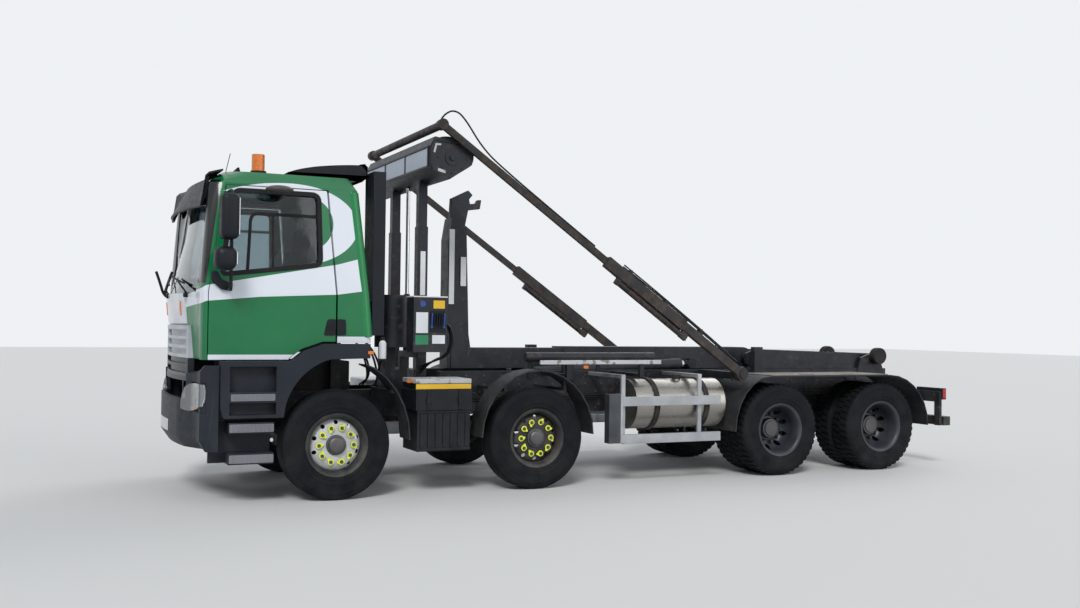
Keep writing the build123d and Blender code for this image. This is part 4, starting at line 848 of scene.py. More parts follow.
soften("silencer", bare_aluminium, 0.012, 3)
soften("fuel_tank", tank_metal, 0.006)
soften("battery_box", dark_plastic, 0.012, 3)
soften("hydraulic_unit", lift_paint, 0.012, 3)
soften("seats", seat_cloth, 0.02, 2)
soften("lamps", bumper_plastic, 0.01)

# %% [markdown]
# From here on come the many small things that the CAD leaves out. They all use
# a few helpers: a strip that follows an outline on a flat side, a tube along a
# line, and a plate with rounded corners.
# %% Strips, tubes and plates
def round_corners(points, radius, steps=6):
    """A closed outline with each corner replaced by a short arc."""
    rounded = []
    for index, here in enumerate(points):
        here = Vector(here)
        back = (Vector(points[index - 1]) - here).normalized() * radius
        ahead = (Vector(points[(index + 1) % len(points)]) - here).normalized() * radius
        for step in range(steps + 1):
            share = step / steps
            rounded.append(
                (here + back) * (1 - share) ** 2 + here * 2 * share * (1 - share)
                + (here + ahead) * share ** 2
            )
    return rounded


def offset_outline(points, distance):
    """A closed 2-D outline moved outwards, or inwards if negative."""
    area = sum(points[i - 1][0] * points[i][1] - points[i][0] * points[i - 1][1] for i in range(len(points)))
    sign = 1 if area > 0 else -1
    moved = []
    for index, here in enumerate(points):
        line = (Vector(points[(index + 1) % len(points)]) - Vector(points[index - 1])).normalized()
        moved.append(Vector(here) + Vector((line.y, -line.x)) * distance * sign)
    return moved


def add_strip(form, inner, outer, place, low, high, closed=True):
    """A flat strip between two outlines; place(point, height) gives its 3-D points."""
    rows = [
        [form.verts.new(place(p, h)) for p in line] for line,
        h in ((inner, low), (inner, high), (outer, high), (outer, low))
    ]
    count = len(inner)
    for index in range(count if closed else count - 1):
        following = (index + 1) % count
        for row in range(4):
            a, b = rows[row], rows[(row + 1) % 4]
            form.faces.new((a[index], a[following], b[following], b[index]))
    if not closed:
        form.faces.new([row[0] for row in rows])
        form.faces.new([row[-1] for row in reversed(rows)])


def add_plate(form, outline, place, low, high):
    """A solid plate of this outline."""
    bottom = [form.verts.new(place(p, low)) for p in outline]
    top = [form.verts.new(place(p, high)) for p in outline]
    form.faces.new(bottom)
    form.faces.new(list(reversed(top)))
    for index in range(len(outline)):
        form.faces.new((bottom[index - 1], bottom[index], top[index], top[index - 1]))


def on_side(side, height_to_y=None):
    """Places (along, up) points on a side: along is measured from the first axle."""
    def place(point, out):
        y = height_to_y(point[1]) if height_to_y else 0.0
        return Vector((axle_1 + point[0], side * (y + out), point[1]))
    return place


def add_tube(form, points, radius, sides=10, turns=3):
    """A round tube along smoothed points."""
    line = [Vector(p) for p in points]
    for _ in range(turns):
        smoother = [line[0]]
        for a, b in zip(line, line[1:]):
            smoother += [a * 0.75 + b * 0.25, a * 0.25 + b * 0.75]
        line = smoother + [line[-1]]
    rings = []
    up = Vector((0.3, 0.2, 1)).normalized()
    for index, here in enumerate(line):
        along = (line[min(index + 1, len(line) - 1)] - line[max(index - 1, 0)]).normalized()
        across = along.cross(up).normalized()
        up = across.cross(along).normalized()
        ring = []
        for side in range(sides):
            angle = 2 * pi * side / sides
            ring.append(form.verts.new(here + (across * cos(angle) + up * sin(angle)) * radius))
        rings.append(ring)
    for a, b in zip(rings, rings[1:]):
        for side in range(sides):
            form.faces.new((a[side - 1], a[side], b[side], b[side - 1]))
    form.faces.new(rings[0])
    form.faces.new(list(reversed(rings[-1])))


def close_form(form):
    """Makes every face of a form point outwards."""
    bmesh.ops.recalc_face_normals(form, faces=form.faces)
    return form


def box_at(form, u0, u1, y0, y1, z0, z1):
    """A box given along the truck from the first axle."""
    return add_box(form, (axle_1 + u0, y0, z0), (axle_1 + u1, y1, z1))


# %% More finishes
black_rubber = make_finish(
    "black_rubber", (0.008, 0.008, 0.010), 0.6, dust=0.08, shine=0.2, grain=0.003, depth=0.0001
)
hose_rubber = make_finish(
    "hose_rubber", (0.009, 0.009, 0.011), 0.5, dust=0.1, shine=0.3, grain=0.004, depth=0.0002
)
plate_white = make_finish(
    "plate_white", (0.66, 0.68, 0.71), 0.4, dust=0.25, dust_height=2.4, grain=0.02, depth=0.0001
)
bar_white = make_finish(
    "bar_white", (0.46, 0.47, 0.49), 0.45, dust=0.3, dust_height=1.9, grain=0.02, wear=(0.2, 0.17, 0.14),
    wear_share=0.25
)
plate_yellow = make_finish("plate_yellow", (0.70, 0.43, 0.02), 0.4, dust=0.25, grain=0.02, depth=0.0001)
plate_blue = make_finish("plate_blue", (0.02, 0.07, 0.28), 0.4, dust=0.2, grain=0.02, depth=0.0001)
plate_green = make_finish("plate_green", (0.02, 0.20, 0.09), 0.4, dust=0.2, grain=0.02, depth=0.0001)
front_white = make_finish(
    "front_white", (0.60, 0.62, 0.67), 0.3, dust=0.3, dust_height=2.4, coat=0.4, grain=0.2, depth=0.0003
)
tread_metal = make_finish(
    "tread_metal", (0.17, 0.18, 0.20), 0.5, metal=0.4, dust=0.2, dust_height=1.4, grain=0.003, depth=0.0004
)
reflector = make_finish("reflector", (0.75, 0.76, 0.78), 0.12, metal=1.0, vary=0.03, dust=0.05)


def lens_finish(name, colour, share, rib_depth=0.0008, vary=0.3):
    """Moulded lamp plastic: part clear, part coloured, with fine ribs."""
    material, tree, shader, place = new_finish(name)
    tone = blend_colour(
        tree, spread(tree, noise(tree, place, 0.02, 3.0), 0.3, 0.7), colour,
        tuple(c * (1 - vary) for c in colour)
    )
    tree.links.new(tone, shader.inputs["Base Color"])
    shader.inputs["Roughness"].default_value = 0.12
    shader.inputs["Transmission Weight"].default_value = share
    shader.inputs["Coat Weight"].default_value = 0.5
    ribs = tree.nodes.new("ShaderNodeTexWave")
    ribs.inputs["Scale"].default_value = 28
    ribs.inputs["Distortion"].default_value = 0.0
    tree.links.new(place, ribs.inputs["Vector"])
    bump = tree.nodes.new("ShaderNodeBump")
    bump.inputs["Distance"].default_value = rib_depth
    tree.links.new(ribs.outputs["Fac"], bump.inputs["Height"])
    tree.links.new(bump.outputs[0], shader.inputs["Normal"])
    return material


amber_lens = lens_finish("amber_lens", (0.95, 0.24, 0.01), 0.25)
red_lens = lens_finish("red_lens", (0.55, 0.01, 0.008), 0.15)
clear_lens = lens_finish("clear_lens", (0.86, 0.90, 0.94), 0.88, 0.0002, 0.08)
soften("beacon", amber_lens, 0.01)


def chequer_finish():
    """Dusty tread plate: raised bars in two directions."""
    material, tree, shader, place = new_finish("chequer_plate")
    waves = []
    for turn in (0.785, -0.785):
        mapping = tree.nodes.new("ShaderNodeMapping")
        mapping.inputs["Rotation"].default_value = (0, 0, turn)
        tree.links.new(place, mapping.inputs["Vector"])
        wave = tree.nodes.new("ShaderNodeTexWave")
        wave.inputs["Scale"].default_value = 16
        tree.links.new(mapping.outputs[0], wave.inputs["Vector"])
        waves.append(wave.outputs["Fac"])
    raised = spread(tree, ask(tree, "MULTIPLY", waves[0], waves[1]), 0.45, 0.6)
    metal = blend_colour(tree, raised, (0.13, 0.12, 0.11), (0.24, 0.23, 0.22))
    grime = spread(tree, noise(tree, place, 0.12, 6.0), 0.35, 0.65)
    tree.links.new(blend_colour(tree, grime, metal, (0.21, 0.185, 0.16)), shader.inputs["Base Color"])
    tree.links.new(spread(tree, grime, 0.0, 1.0, 0.5, 0.9), shader.inputs["Roughness"])
    shader.inputs["Metallic"].default_value = 0.25
    bump = tree.nodes.new("ShaderNodeBump")
    bump.inputs["Distance"].default_value = 0.0015
    tree.links.new(raised, bump.inputs["Height"])
    tree.links.new(bump.outputs[0], shader.inputs["Normal"])
    return material


chequer_plate = chequer_finish()
print("materials now:", len(bpy.data.materials))

# %% [markdown]
# The doors' windows sit in a wide black rubber, and a second, thinner frame
# holds the sliding pane. The black handle bridges the shut line, half on the
# door and half on the cab's rear panel.
# %% Door window frames and handles
def side_y(z):
    """Half width of the cab's side at a height."""
    if z < 1.95:
        return 1.150
    return 1.150 - 0.060 * (z - 1.95) / 1.010


window_corners = [(-1.085, 2.110), (-0.975, 2.895), (-0.185, 2.895), (-0.165, 2.225)]
for side_name, side in (("left", -1), ("right", 1)):
    door = "door_" + side_name
    seal_line = round_corners(window_corners, 0.07)
    seal = bmesh.new()
    add_strip(
        seal, offset_outline(seal_line, -0.022), offset_outline(seal_line, 0.022), on_side(side, side_y),
        -0.018, 0.006
    )
    finish_form(door + "_window_rubber", close_form(seal), door, black_rubber, bevel=0.003)
    frame_line = [(-0.86, 2.16), (-0.835, 2.62), (-0.825, 2.66), (-0.80, 2.69), (-0.76, 2.70), (-0.20, 2.70)]
    frame_inner = [
        (-0.832, 2.165), (-0.808, 2.615), (-0.799, 2.645), (-0.782, 2.664), (-0.755, 2.672), (-0.20, 2.672)
    ]
    slider = bmesh.new()
    add_strip(slider, frame_inner, frame_line, on_side(side, side_y), -0.028, -0.012, closed=False)
    post = [(-0.62, 2.18), (-0.604, 2.18), (-0.604, 2.672), (-0.62, 2.672)]
    add_plate(slider, post, on_side(side, side_y), -0.028, -0.016)
    finish_form(door + "_sliding_frame", close_form(slider), door, black_rubber)
    handle = bmesh.new()
    add_plate(
        handle,
        round_corners([(-0.131, 1.560), (-0.097, 1.712), (-0.019, 1.717), (-0.019, 1.560)], 0.018, 3),
        on_side(side, side_y), -0.003, 0.011
    )
    finish_form(door + "_handle", close_form(handle), door, dark_plastic, bevel=0.003)
    bezel = bmesh.new()
    add_plate(
        bezel, round_corners([(-0.004, 1.560), (-0.004, 1.717), (0.078, 1.712), (0.084, 1.566)], 0.018, 3),
        on_side(side, side_y), -0.003, 0.011
    )
    finish_form("handle_bezel_" + side_name, close_form(bezel), "cab", dark_plastic, bevel=0.003)
    lip = bmesh.new()
    add_plate(
        lip, [(-0.112, 1.60), (-0.100, 1.66), (-0.030, 1.665), (-0.030, 1.60)], on_side(side, side_y),
        0.010, 0.014
    )
    finish_form(door + "_handle_lip", close_form(lip), door, black_rubber)
    foot = bmesh.new()
    foot_line = [
        (-1.172, 2.140), (-1.172, 2.050), (-1.085, 1.970), (-0.992, 1.957), (-0.985, 2.030),
        (-1.080, 2.060), (-1.120, 2.140)
    ]
    add_plate(foot, round_corners(foot_line, 0.015, 3), on_side(side, side_y), -0.002, 0.045)
    finish_form(door + "_mirror_foot", close_form(foot), door, dark_plastic, bevel=0.012)
print("door trim fitted")

# %% [markdown]
# The mirrors are moulded shells with soft corners on a bent tube, and the roof
# deflector is one curved moulding. Both stand for a CAD node: the shells start
# as boxes whose edges are rounded far, and a mirror plate closes each one.
# %% Mirrors and roof deflector
mirror_plate = make_finish(
    "mirror_plate", (0.75, 0.77, 0.80), 0.08, metal=1.0, vary=0.02, dust=0.02, grain=0.3, depth=0.0001
)
kerb_grey = make_finish(
    "kerb_grey", (0.055, 0.050, 0.048), 0.4, dust=0.15, dust_height=4.0, grain=0.01, shine=0.3
)


def add_shell(form, u, y, z, rounding):
    """A box with far rounded edges; u, y and z are its two ends each."""
    made = box_at(form, u[0], u[1], y[0], y[1], z[0], z[1])
    edges = list({edge for vert in made for edge in vert.link_edges})
    bmesh.ops.bevel(form, geom=edges, offset=rounding, segments=5, affect="EDGES", profile=0.5)


post_u, post_y = -1.030, 1.330
for side_name, side in (("left", -1), ("right", 1)):
    door = "door_" + side_name
    shells = bmesh.new()
    span = sorted((side * 1.290, side * 1.500))
    add_shell(shells, (-1.145, -0.985), span, (2.415, 2.825), 0.050)
    add_shell(shells, (-1.190, -1.000), span, (2.135, 2.350), 0.070)
    for z0, z1 in ((2.325, 2.440), (1.990, 2.160)):
        foot = Vector((axle_1 + post_u, side * post_y, z0))
        add_round(shells, foot, foot + Vector((0, 0, z1 - z0)), 0.016, 16)
    add_tube(shells, [
        (axle_1 + post_u, side * 1.145, 1.985), (axle_1 + post_u, side * post_y, 1.975),
        (axle_1 + post_u, side * post_y, 2.020),
    ], 0.016, 12)
    add_tube(shells, [
        (axle_1 + post_u, side * 1.092, 2.865), (axle_1 + post_u, side * post_y, 2.870),
        (axle_1 + post_u, side * post_y, 2.800),
    ], 0.016, 12)
    box_at(shells, -0.640, -0.560, *sorted((side * 1.092, side * 1.200)), 2.898, 2.922)
    piece = finish_form(f"mirror_shells_{side_name}", close_form(shells), door, dark_plastic, angle=50)
    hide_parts("mirrors_" + side_name)
    kerb = bmesh.new()
    made = bmesh.ops.create_uvsphere(kerb, u_segments=32, v_segments=16, radius=1.0)["verts"]
    bmesh.ops.scale(kerb, vec=(0.128, 0.112, 0.040), verts=made)
    bmesh.ops.translate(kerb, vec=(axle_1 - 0.600, side * 1.290, 2.898), verts=made)
    finish_form(f"kerb_mirror_{side_name}", close_form(kerb), door, kerb_grey, angle=60)
    plates = bmesh.new()
    inner, outer = sorted((side * 1.325, side * 1.470))
    box_at(plates, -0.990, -0.982, inner, outer, 2.455, 2.785)
    box_at(plates, -1.006, -0.997, inner, outer, 2.190, 2.300)
    finish_form(f"mirror_plates_{side_name}", close_form(plates), door, mirror_plate, bevel=0.002)

deflector_line = [
    (-0.490, 3.088), (-0.440, 3.118), (-0.330, 3.155), (-0.180, 3.188), (0.000, 3.212), (0.160, 3.226),
    (0.280, 3.232), (0.318, 3.222), (0.330, 3.190), (0.330, 3.108), (0.310, 3.090), (0.100, 3.086),
    (-0.300, 3.086),
]
(low_corner, high_corner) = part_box("roof_deflector")
deflector = bmesh.new()
add_plate(deflector, round_corners(deflector_line, 0.06, 4), on_side(1), low_corner[1], high_corner[1])
piece = finish_form("deflector_moulding", close_form(deflector), "cab", dark_plastic, bevel=0.030)
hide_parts("roof_deflector")
print("mirrors and deflector shaped")

# %% [markdown]
# A round column closes the cab's rear corner. Its green is painted lighter
# than the cab's own, a painted highlight that runs from sill to roof.
# %% Rear corner columns
def highlight_lit_green():
    """The cab's green without stripes, painted lighter as a highlight."""
    material, tree, shader, place = new_finish("highlight_lit_green")
    tone = spread(tree, noise(tree, place, 0.6, 3.0), 0.3, 0.7)
    # painted highlight: this green is lighter than the cab's own green
    green = blend_colour(tree, tone, (0.002, 0.165, 0.045), (0.004, 0.205, 0.056))
    film = dusty(tree, place, 0.10, 2.4)
    tree.links.new(blend_colour(tree, film, green, road_dust), shader.inputs["Base Color"])
    tree.links.new(spread(tree, film, 0.0, 0.3, 0.26, 0.55), shader.inputs["Roughness"])
    shader.inputs["Specular IOR Level"].default_value = 0.3
    shader.inputs["Coat Weight"].default_value = 0.35
    shader.inputs["Coat Roughness"].default_value = 0.05
    add_grain(tree, shader, place, 0.25, 0.0006)
    return material


# painted highlight: the columns get a lighter green than the cab
highlight_lit_paint = highlight_lit_green()
columns = bmesh.new()
for side in (-1, 1):
    foot = Vector((axle_1 + 0.296, side * 1.096, 1.545))
    mid = Vector((axle_1 + 0.262, side * 1.096, 1.95))
    head = Vector((axle_1 + 0.150, side * 1.040, 2.935))
    add_tube(columns, [foot, mid, head], 0.062, 24, 2)
finish_form("rear_corner_columns", close_form(columns), "cab", highlight_lit_paint, bevel=0.006)

# %% [markdown]
# The front panel under the windscreen is white, with an amber marker at each
# end. It wraps round the cab's front corners, so it follows the same plan.
# %% Front panel, grille and wipers
def front_box(form, half, z0, z1, out0, out1):
    """A band across the cab's front between two heights, before it is drawn in."""
    made = add_box(form, (0, -half, z0), (1, half, z1))
    for vert in made:
        front = axle_1 - 1.450 - 0.055 * (vert.co.z - 1.330) / 0.620
        vert.co.x = front - (out0 if vert.co.x > 0.5 else out1)


panel = bmesh.new()
front_box(panel, 0.640, 1.655, 1.945, -0.004, 0.014)
finish_form("front_panel", close_form(draw_in(panel)), "cab", front_white, bevel=0.004)
marker = bmesh.new()
for side in (-1, 1):
    front_box(marker, 0.020, 1.735, 1.870, 0.010, 0.022)
    for vert in marker.verts:
        if abs(vert.co.y) < 0.03:
            vert.co.y += side * 0.50
finish_form("front_markers", close_form(draw_in(marker)), "cab", amber_lens, bevel=0.003)
wipers = bmesh.new()
for y in (-0.70, 0.14):
    pivot = Vector((axle_1 - 1.500, y, 1.925))
    elbow = Vector((axle_1 - 1.545, y - 0.02, 1.985))
    tip = Vector((axle_1 - 1.500, y + 0.40, 2.085))
    add_round(wipers, pivot + Vector((0.03, 0, 0)), pivot - Vector((0.035, 0, 0)), 0.022, 16)
    add_tube(wipers, [pivot, elbow, tip], 0.009, 8, 2)
    add_round(wipers, tip + Vector((0, -0.28, -0.045)), tip + Vector((0, 0.28, 0.035)), 0.010, 8)
finish_form("wipers", close_form(draw_in(wipers)), "cab", black_rubber)
look_down = bmesh.new()
for lean in (-0.083, 0.082):
    foot = Vector((axle_1 - 1.343, 0.90, 1.943))
    add_tube(
        look_down,
        [
            foot + Vector((0.09, -0.06, -0.03)), foot, foot + Vector((lean * 0.5, 0, 0.14)),
            foot + Vector((lean, 0, 0.26))
        ],
        0.015, 10, 2
    )
finish_form("wiper_arms_far", close_form(look_down), "cab", black_rubber)
print("front dressed")

# %% [markdown]
# Behind the steps and in the bumper sit the treads and the lamps. A head lamp
# is a clear leaf of plastic over bright bowls, with an amber strip below.
# %% Steps and head lamps
treads = bmesh.new()
for side in (-1, 1):
    for u0, u1, y, z0, z1 in (
        (-1.005, -0.605, 1.230, 0.392, 0.468), (-1.005, -0.605, 1.230, 0.672, 0.748),
        (-1.000, -0.600, 1.250, 0.958, 1.022)
    ):
        plate = round_corners([(u0, z0), (u0, z1), (u1, z1), (u1, z0)], 0.012, 3)
        add_plate(treads, plate, on_side(side), y - 0.004, y + 0.010)
        for rib in range(9):
            middle = u0 + 0.04 + rib * (u1 - u0 - 0.08) / 8
            add_plate(
                treads,
                [
                    (middle - 0.008, z0 + 0.012), (middle - 0.008, z1 - 0.012),
                    (middle + 0.008, z1 - 0.012), (middle + 0.008, z0 + 0.012)
                ],
                on_side(side), y + 0.009, y + 0.014
            )
finish_form("step_treads", close_form(treads), "chassis", tread_metal, bevel=0.002)

lamp_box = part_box("lamps")
lamp_path = [Vector(p) for p in ((-1.207, -1.208), (-1.255, -1.163), (-1.268, -0.890), (-1.382, -0.620))]
lens_slices = (
    # distance round the corner, bottom, top
    (0.008, 1.035, 1.050), (0.025, 0.955, 1.107), (0.046, 0.911, 1.110), (0.066, 0.905, 1.111),
    (0.110, 0.893, 1.114), (0.170, 0.880, 1.116), (0.265, 0.865, 1.112), (0.331, 0.857, 1.108),
    (0.415, 0.847, 1.100), (0.487, 0.853, 1.066), (0.530, 0.860, 1.004), (0.553, 0.868, 0.930),
)


def round_lamp_corner(side):
    """Places (distance round the corner, up) points on a bumper corner."""
    def place(point, out):
        left = point[0]
        for start, end in zip(lamp_path, lamp_path[1:]):
            run = end - start
            if left <= run.length or end == lamp_path[-1]:
                break
            left -= run.length
        along = run.normalized()
        spot = start + along * left + Vector((-along.y, along.x)) * -out
        return Vector((axle_1 + spot.x, side * -spot.y, point[1]))
    return place


covers, bowls, blinkers = bmesh.new(), bmesh.new(), bmesh.new()
for side in (-1, 1):
    wrap = round_lamp_corner(side)
    bottom = [(s, low) for s, low, high in lens_slices]
    top = [(s, high) for s, low, high in lens_slices]
    add_strip(covers, bottom, top, wrap, -0.014, 0.010, closed=False)
    amber_rows = [row for row in lens_slices if 0.16 < row[0] < 0.50]
    add_strip(
        blinkers, [(s, low + 0.004) for s, low, high in amber_rows],
        [(s, low + 0.034) for s, low, high in amber_rows],
        wrap, 0.008, 0.013, closed=False,
    )
    for distance, z, radius in ((0.150, 1.005, 0.062), (0.290, 1.000, 0.062), (0.430, 0.975, 0.050)):
        add_round(bowls, wrap((distance, z), 0.008), wrap((distance, z), 0.014), radius, 32)
finish_form("head_lamp_covers", close_form(covers), "chassis", clear_lens, bevel=0.003)
finish_form("head_lamp_bowls", close_form(bowls), "chassis", reflector, bevel=0.002)
finish_form("head_lamp_blinkers", close_form(blinkers), "chassis", amber_lens)

# %% [markdown]
# The tail lamps are black boxes with red, amber and clear lenses. The rear bar
# and the front bumper each carry a blank number plate, a thin box on the steel.
# %% Tail lamps and plates
tail_reds, tail_ambers, tail_clears = bmesh.new(), bmesh.new(), bmesh.new()
rear_face = lamp_box[1][0]
for side in (-1, 1):
    for form, y0, y1 in (
        (tail_reds, 1.045, 1.190), (tail_ambers, 0.930, 1.035), (tail_clears, 0.850, 0.920),
        (tail_reds, 0.775, 0.840)
    ):
        add_box(form, (rear_face - 0.002, side * y0, 0.835), (rear_face + 0.012, side * y1, 0.945))
    add_box(tail_reds, (rear_face - 0.058, side * 1.198, 0.835), (rear_face - 0.006, side * 1.208, 0.945))
finish_form("tail_lamp_reds", close_form(tail_reds), "chassis", red_lens, bevel=0.004)
finish_form("tail_lamp_ambers", close_form(tail_ambers), "chassis", amber_lens, bevel=0.004)
finish_form("tail_lamp_clears", close_form(tail_clears), "chassis", clear_lens, bevel=0.004)
blank_plates = bmesh.new()
bar_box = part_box("rear_bar")
add_box(blank_plates, (bar_box[1][0], -0.26, 0.500), (bar_box[1][0] + 0.006, 0.26, 0.612))
finish_form("rear_number_plate", close_form(blank_plates), "chassis", plate_yellow, bevel=0.002)
front_plate_form = bmesh.new()
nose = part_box("front_bumper")[0][0]
add_box(front_plate_form, (nose - 0.006, -0.26, 0.62), (nose, 0.26, 0.732))
finish_form("front_number_plate", close_form(draw_in(front_plate_form)), "chassis", plate_white, bevel=0.002)

# %% [markdown]
# The lever cabinet behind the cab has a pale lid, a yellow and a white plate,
# all blank, and blue and black levers on a black plate, which stands for
# their recess as painted shade. Hoses loop out beside it.
# %% Lever cabinet and hoses
cabinet = {
    "white": bmesh.new(), "yellow": bmesh.new(), "blue": bmesh.new(), "green": bmesh.new(),
    "black": bmesh.new()
}
face_y = -1.090
box_at(cabinet["white"], 0.775, 1.135, -1.096, -0.875, 1.945, 1.957)
box_at(cabinet["yellow"], 0.985, 1.105, face_y - 0.003, face_y, 1.835, 1.915)
box_at(cabinet["white"], 0.805, 0.930, face_y - 0.003, face_y, 1.590, 1.795)
box_at(cabinet["green"], 0.800, 0.935, face_y - 0.003, face_y, 1.475, 1.570)
box_at(cabinet["white"], 0.975, 1.110, face_y - 0.003, face_y, 1.485, 1.570)
add_round(
    cabinet["blue"], (axle_1 + 0.875, face_y, 1.880), (axle_1 + 0.875, face_y - 0.004, 1.880), 0.030, 24
)
# painted shade: a black plate stands for the dark recess behind the levers
box_at(cabinet["black"], 0.950, 1.110, face_y - 0.008, face_y, 1.600, 1.815)
for lever in range(6):
    u = 0.966 + lever * 0.026
    tint = "blue" if lever in (0, 5) else "black"
    add_round(
        cabinet[tint], (axle_1 + u, face_y - 0.012, 1.640), (axle_1 + u, face_y - 0.030, 1.790), 0.008, 10
    )
    add_round(
        cabinet[tint], (axle_1 + u, face_y - 0.005, 1.650), (axle_1 + u, face_y - 0.018, 1.650), 0.013, 10
    )
for tint, paint in (
    ("white", plate_white), ("yellow", plate_yellow), ("blue", plate_blue), ("green", plate_green),
    ("black", dark_plastic)
):
    finish_form("cabinet_" + tint, close_form(cabinet[tint]), "chassis", paint, bevel=0.001)
hoses = bmesh.new()
for shift in (0.0, 0.035, 0.07):
    add_tube(hoses, [
        (axle_1 + 1.125, -1.00 + shift, 1.70), (axle_1 + 1.20, -1.02 + shift, 1.66),
        (axle_1 + 1.24, -1.00 + shift, 1.50),
        (axle_1 + 1.20, -0.95 + shift, 1.36), (axle_1 + 1.10, -0.80 + shift, 1.30),
        (axle_1 + 1.02, -0.60, 1.24 - shift),
    ], 0.010, 10)
for y, bend in ((-0.30, 0.10), (-0.22, 0.16), (0.12, 0.12), (0.24, 0.18)):
    add_tube(hoses, [
        (axle_1 + 0.365, y, 1.62), (axle_1 + 0.45, y, 1.60), (axle_1 + 0.50 + bend, y - 0.05, 1.35),
        (axle_1 + 0.56 + bend, y - 0.03, 1.10), (axle_1 + 0.62, y, 1.01),
    ], 0.011, 10)
finish_form("hose_runs", close_form(hoses), "chassis", hose_rubber)
bottle = bmesh.new()
add_round(bottle, (axle_1 + 0.47, -1.08, 1.335), (axle_1 + 0.47, -1.08, 1.490), 0.036, 24)
add_round(bottle, (axle_1 + 0.47, -1.08, 1.490), (axle_1 + 0.47, -1.08, 1.515), 0.036, 24, 0.018)
finish_form("grease_bottle", close_form(bottle), "chassis", plate_white, bevel=0.003)
cap = bmesh.new()
add_round(cap, (axle_1 + 0.47, -1.08, 1.515), (axle_1 + 0.47, -1.08, 1.548), 0.020, 20)
add_round(cap, (axle_1 + 0.47, -1.08, 1.322), (axle_1 + 0.47, -1.08, 1.336), 0.050, 20)
add_tube(
    cap,
    [
        (axle_1 + 0.47, -1.08, 1.329), (axle_1 + 0.52, -0.85, 1.31), (axle_1 + 0.60, -0.45, 1.05),
        (axle_1 + 0.60, -0.42, 0.99)
    ],
    0.013, 8
)
finish_form("bottle_holder", close_form(cap), "chassis", cast_metal)

# %% [markdown]
# The gantry: a bright ram between dark posts, blank white strips on a post and
# on the hook arm, and a dark housing with a pale blank label along its front
# and a thick round plate at each end.
# %% Gantry dressing
ram = bmesh.new()
add_round(ram, (axle_1 + 1.070, 0, 2.004), (axle_1 + 1.070, 0, 3.150), 0.0212, 32)
finish_form("gantry_ram", close_form(ram), "sheeter_gantry", rod_chrome)
strips = bmesh.new()
box_at(strips, 1.045, 1.100, -0.5085, -0.504, 1.98, 2.44)
finish_form("post_strip", close_form(strips), "chassis", plate_white, bevel=0.001)
jib_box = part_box("jib")
arm_strip = bmesh.new()
box_at(arm_strip, 1.505, 1.565, jib_box[0][1] - 0.003, jib_box[0][1] + 0.002, 1.90, 2.72)
box_at(arm_strip, 1.640, 1.705, jib_box[0][1] - 0.003, jib_box[0][1] + 0.002, 2.10, 2.42)
finish_form("arm_strips", close_form(arm_strip), "jib", plate_white, bevel=0.001)
label = bmesh.new()
for y0, y1 in ((-1.03, -0.36), (-0.33, 0.33), (0.36, 1.03)):
    box_at(label, 0.914, 0.922, y0, y1, 3.262, 3.438)
finish_form("housing_label", close_form(label), "sheeter_gantry", silver_paint, bevel=0.002)
housing_frame = bmesh.new()
for y in (-1.06, -0.345, 0.345, 1.06):
    box_at(housing_frame, 0.908, 0.924, y - 0.012, y + 0.012, 3.245, 3.455)
for z in (3.250, 3.450):
    box_at(housing_frame, 0.906, 0.924, -1.07, 1.07, z - 0.008, z + 0.008)
end_outline = [
    (0.925, 3.235), (1.115, 3.125), (1.375, 3.290), (1.385, 3.420), (1.315, 3.510), (1.150, 3.560),
    (1.010, 3.550), (0.925, 3.470)
]
for side in (-1, 1):
    add_plate(housing_frame, round_corners(end_outline, 0.06, 5), on_side(side), 1.108, 1.122)
    middle = Vector((axle_1 + 1.150, side * 1.120, 3.345))
    add_round(housing_frame, middle, middle + Vector((0, side * 0.012, 0)), 0.075, 40)
    add_round(housing_frame, middle, middle + Vector((0, side * 0.030, 0)), 0.028, 20)
    for index in range(8):
        spot, _ = round_the_hub(index, 8, 0.150, middle, 0)
        add_round(housing_frame, spot, spot + Vector((0, side * 0.010, 0)), 0.010, 6)
finish_form("housing_ends", close_form(housing_frame), "sheeter_gantry", lift_paint, bevel=0.002)
marks = bmesh.new()
mark_place = on_side(-1)
add_plate(
    marks, [(0.950, 3.390), (0.972, 3.480), (1.030, 3.480), (1.030, 3.462), (0.987, 3.462), (0.968, 3.385)],
    mark_place, 1.121, 1.124
)
add_plate(marks, [(1.000, 3.205), (1.000, 3.235), (1.080, 3.215), (1.080, 3.186)], mark_place, 1.121, 1.124)
finish_form("housing_marks", close_form(marks), "sheeter_gantry", bar_white)
bow_hose = bmesh.new()


def along_arm(share_u, lift):
    """A point above the near arm, at a distance from the first axle."""
    z = 3.660 + (share_u - 1.020) / (4.630 - 1.020) * (1.160 - 3.660)
    return (axle_1 + share_u + lift * 0.57, -1.180, z + lift * 0.82)


add_tube(bow_hose, [
    (axle_1 + 1.02, -1.10, 3.70), (axle_1 + 1.06, -1.13, 3.775), (axle_1 + 1.14, -1.16, 3.82),
    (axle_1 + 1.24, -1.18, 3.77),
    along_arm(1.42, 0.075), along_arm(1.70, 0.055), along_arm(2.20, 0.050), along_arm(2.72, 0.050),
], 0.009, 10)
finish_form("bow_hose", close_form(bow_hose), "sheeter_bow", hose_rubber)
arm_hose = bmesh.new()
add_tube(
    arm_hose,
    [
        along_arm(3.05, 0.075), along_arm(3.30, 0.085), along_arm(3.80, 0.085), along_arm(4.30, 0.075),
        along_arm(4.52, 0.08)
    ],
    0.010, 10
)
add_tube(
    arm_hose, [along_arm(3.05, 0.10), along_arm(3.40, 0.105), along_arm(4.00, 0.10), along_arm(4.40, 0.09)],
    0.008, 10
)
for u in (3.15, 3.60, 4.05):
    spot = Vector(along_arm(u, 0.04))
    add_box(arm_hose, spot - Vector((0.02, 0.03, 0.0)), spot + Vector((0.02, 0.03, 0.065)))
finish_form("arm_hoses", close_form(arm_hose), "sheeter_arms", hose_rubber)
print("gantry dressed")

